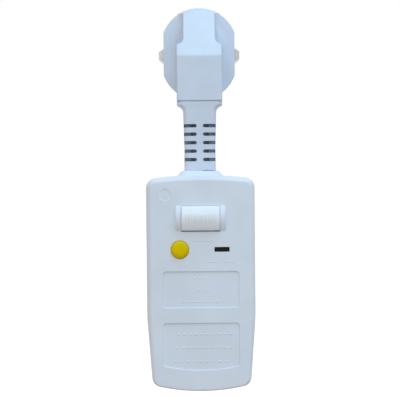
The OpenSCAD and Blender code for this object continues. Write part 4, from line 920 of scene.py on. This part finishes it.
# %% Rows of raised bars
row_tree, given = new_tree("raised_row", [("Count", "Int"), ("Start", "Vector"), ("Spacing", "Float"),
                                          ("Bar size", "Vector"), ("Shortest", "Float"), ("Seed", "Int"),
                                          ("Finish", "Material")])
spacing = add(row_tree, "ShaderNodeCombineXYZ", {"X": given["Spacing"]})
line = add(row_tree, "GeometryNodeMeshLine",
           {"Count": given["Count"], "Start Location": given["Start"], "Offset": spacing.outputs["Vector"]},
           mode="OFFSET")
bar = add(row_tree, "GeometryNodeMeshUVSphere", {"Segments": 14, "Rings": 8, "Radius": 1.0})
chance = add(row_tree, "FunctionNodeRandomValue", {2: given["Shortest"], 3: 1.0, "Seed": given["Seed"]},
             data_type="FLOAT")
length = add(row_tree, "ShaderNodeCombineXYZ", {"X": chance.outputs[1], "Y": 1.0, "Z": 1.0})
size = add(row_tree, "ShaderNodeVectorMath", {0: given["Bar size"], 1: length.outputs["Vector"]},
           operation="MULTIPLY")
copies = add(row_tree, "GeometryNodeInstanceOnPoints",
             {"Points": line.outputs["Mesh"], "Instance": bar.outputs["Mesh"],
              "Scale": size.outputs["Vector"]})
whole = add(row_tree, "GeometryNodeRealizeInstances", {"Geometry": copies.outputs["Instances"]})
coat = add(row_tree, "GeometryNodeSetMaterial",
           {"Geometry": whole.outputs["Geometry"], "Material": given["Finish"]})
add(row_tree, "NodeGroupOutput", {"Geometry": coat.outputs["Geometry"]})


def raised_row(name, count, x0, x1, y, z, bar, shortest, seed, finish):
    row = bpy.data.objects.new(name, bpy.data.meshes.new(name))
    scene.collection.objects.link(row)
    values = {"Count": count, "Start": (x0 * MM, y * MM, z * MM), "Spacing": (x1 - x0) / (count - 1) * MM,
              "Bar size": [b * MM for b in bar], "Shortest": shortest, "Seed": seed, "Finish": finish}
    return grown(row, row_tree, values)


RIB_COUNT, RIB_X, RIB_Y, RIB_SIZE = 11, 6.0, FRONT_Y - 3.0, (0.34, 0.34, 1.9)
key_ribs = raised_row("reset_key_ribs", RIB_COUNT, -RIB_X, RIB_X, RIB_Y, KEY_Z, RIB_SIZE, 1.0, 1, key_abs)
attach(key_ribs, "reset_key")
PANEL_FLOOR, MARK_RISE, MARK_HALF_H, SHORTEST, FIRST_SEED = FRONT_Y + PANEL_D, 0.16, 0.4, 0.55, 3
# Name, count, first and last X, Y, Z, and half the length of the longest bar
ROWS = [
    ("face_marks_upper", 5, -2.6, 5.0, FRONT_Y, -82.2, 0.62),
    ("face_marks_left", 2, -8.9, -6.8, FRONT_Y, -92.6, 0.5),
    ("face_marks_middle", 3, 3.2, 6.6, FRONT_Y, -91.2, 0.55),
    ("face_marks_right", 2, 11.6, 13.4, FRONT_Y, -91.2, 0.6),
    ("panel_a_top", 3, -2.6, 2.0, PANEL_FLOOR, -98.2, 0.7),
    ("panel_a_mid", 2, -1.2, 3.0, PANEL_FLOOR, -103.4, 1.2),
    ("panel_a_low", 8, -7.2, 6.8, PANEL_FLOOR, -108.2, 0.8),
    ("panel_b_one", 10, -9.6, 12.4, PANEL_FLOOR, -122.0, 0.95),
    ("panel_b_two", 10, -10.6, 12.6, PANEL_FLOOR, -127.7, 1.0),
    ("panel_b_three", 9, -11.0, 10.6, PANEL_FLOOR, -133.6, 1.0),
]
for seed, (name, count, x0, x1, y, z, half) in enumerate(ROWS, FIRST_SEED):
    bar_size = (half, MARK_RISE, MARK_HALF_H)
    marks = raised_row(name, count, x0, x1, y, z, bar_size, SHORTEST, seed, shell_abs)
    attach(marks, "housing")
print("raised rows:", len(ROWS) + 1)

# %% [markdown]
# The picture was taken straight from the front with a slight roll, against plain white. The camera stands
# where the outline of the real object fits best. A pale floor lies below the hanging part. World and floor
# look white to the camera and to reflections, and give the object only a plain level of light.

# %% Camera
IMAGE_PX, FOCAL_PX, SENSOR_MM, CLIP_M = 400, 1374.4, 36.0, 0.01
CAMERA_PLACE, CAMERA_ROLL = (-0.000166, -0.634, -0.06495), 0.00879
camera = bpy.data.objects.new("camera", bpy.data.cameras.new("camera"))
camera.data.sensor_width = SENSOR_MM
camera.data.lens = FOCAL_PX / IMAGE_PX * SENSOR_MM
camera.data.clip_start = CLIP_M
camera.location = CAMERA_PLACE
camera.rotation_euler = (math.pi / 2, CAMERA_ROLL, 0)
scene.collection.objects.link(camera)
scene.camera = camera
print("lens mm:", round(camera.data.lens, 1))

# %% Floor
FLOOR_HALF, FLOOR_Z, FLOOR_GLOW = 6.0, -0.26, 0.8


def seen_or_mirrored(tree):
    rays = add(tree, "ShaderNodeLightPath").outputs
    seen = rays["Is Camera Ray"]
    for kind in ("Is Glossy Ray", "Is Transmission Ray"):
        seen = add(tree, "ShaderNodeMath", {0: seen, 1: rays[kind]}, operation="MAXIMUM").outputs["Value"]
    return seen


bm = bmesh.new()
bmesh.ops.create_grid(bm, x_segments=4, y_segments=4, size=FLOOR_HALF)
bmesh.ops.translate(bm, verts=bm.verts, vec=(0, 0, FLOOR_Z))
paper = bpy.data.materials.new("paper_backdrop")
paper.use_nodes = True
tree = paper.node_tree
tree.nodes.clear()
lift = add(tree, "ShaderNodeMath", {0: seen_or_mirrored(tree), 1: FLOOR_GLOW}, operation="MULTIPLY")
matte = add(tree, "ShaderNodeBsdfDiffuse", {"Color": colour("#BBB2A9")})
glow = add(tree, "ShaderNodeEmission", {"Color": colour("#FFFFFF"), "Strength": lift.outputs["Value"]})
both = add(tree, "ShaderNodeAddShader", {0: matte.outputs["BSDF"], 1: glow.outputs["Emission"]})
add(tree, "ShaderNodeOutputMaterial", {"Surface": both.outputs["Shader"]})
floor = finished(bm, "paper_floor", paper, outward=False)
print("floor at z", floor.data.vertices[0].co.z)

# %% World and lamps
AMBIENT, LAMP_AIM = 0.6, (0, -0.035, -0.07)
world = bpy.data.worlds.new("studio")
scene.world = world
world.use_nodes = True
tree = world.node_tree
tree.nodes.clear()
level = add(tree, "ShaderNodeMapRange", {"Value": seen_or_mirrored(tree), "To Min": AMBIENT, "To Max": 1.0})
sky = add(tree, "ShaderNodeBackground", {"Color": colour("#FFFFFF"), "Strength": level.outputs["Result"]})
add(tree, "ShaderNodeOutputWorld", {"Surface": sky.outputs["Background"]})


def softbox(name, place, size, watts, tint):
    lamp = bpy.data.lights.new(name, "AREA")
    lamp.shape, lamp.size, lamp.energy, lamp.color = "DISK", size, watts, colour(tint)[:3]
    holder = bpy.data.objects.new(name, lamp)
    holder.location = place
    holder.rotation_euler = (Vector(LAMP_AIM) - Vector(place)).to_track_quat("-Z", "Y").to_euler()
    scene.collection.objects.link(holder)


softbox("overhead", (0.28, -0.35, 0.72), size=0.5, watts=3.3, tint="#ACDEFF")
softbox("front_fill", (-0.15, -1.25, 0.75), size=0.9, watts=5.2, tint="#F4F8FF")
scene.view_settings.view_transform = "Standard"
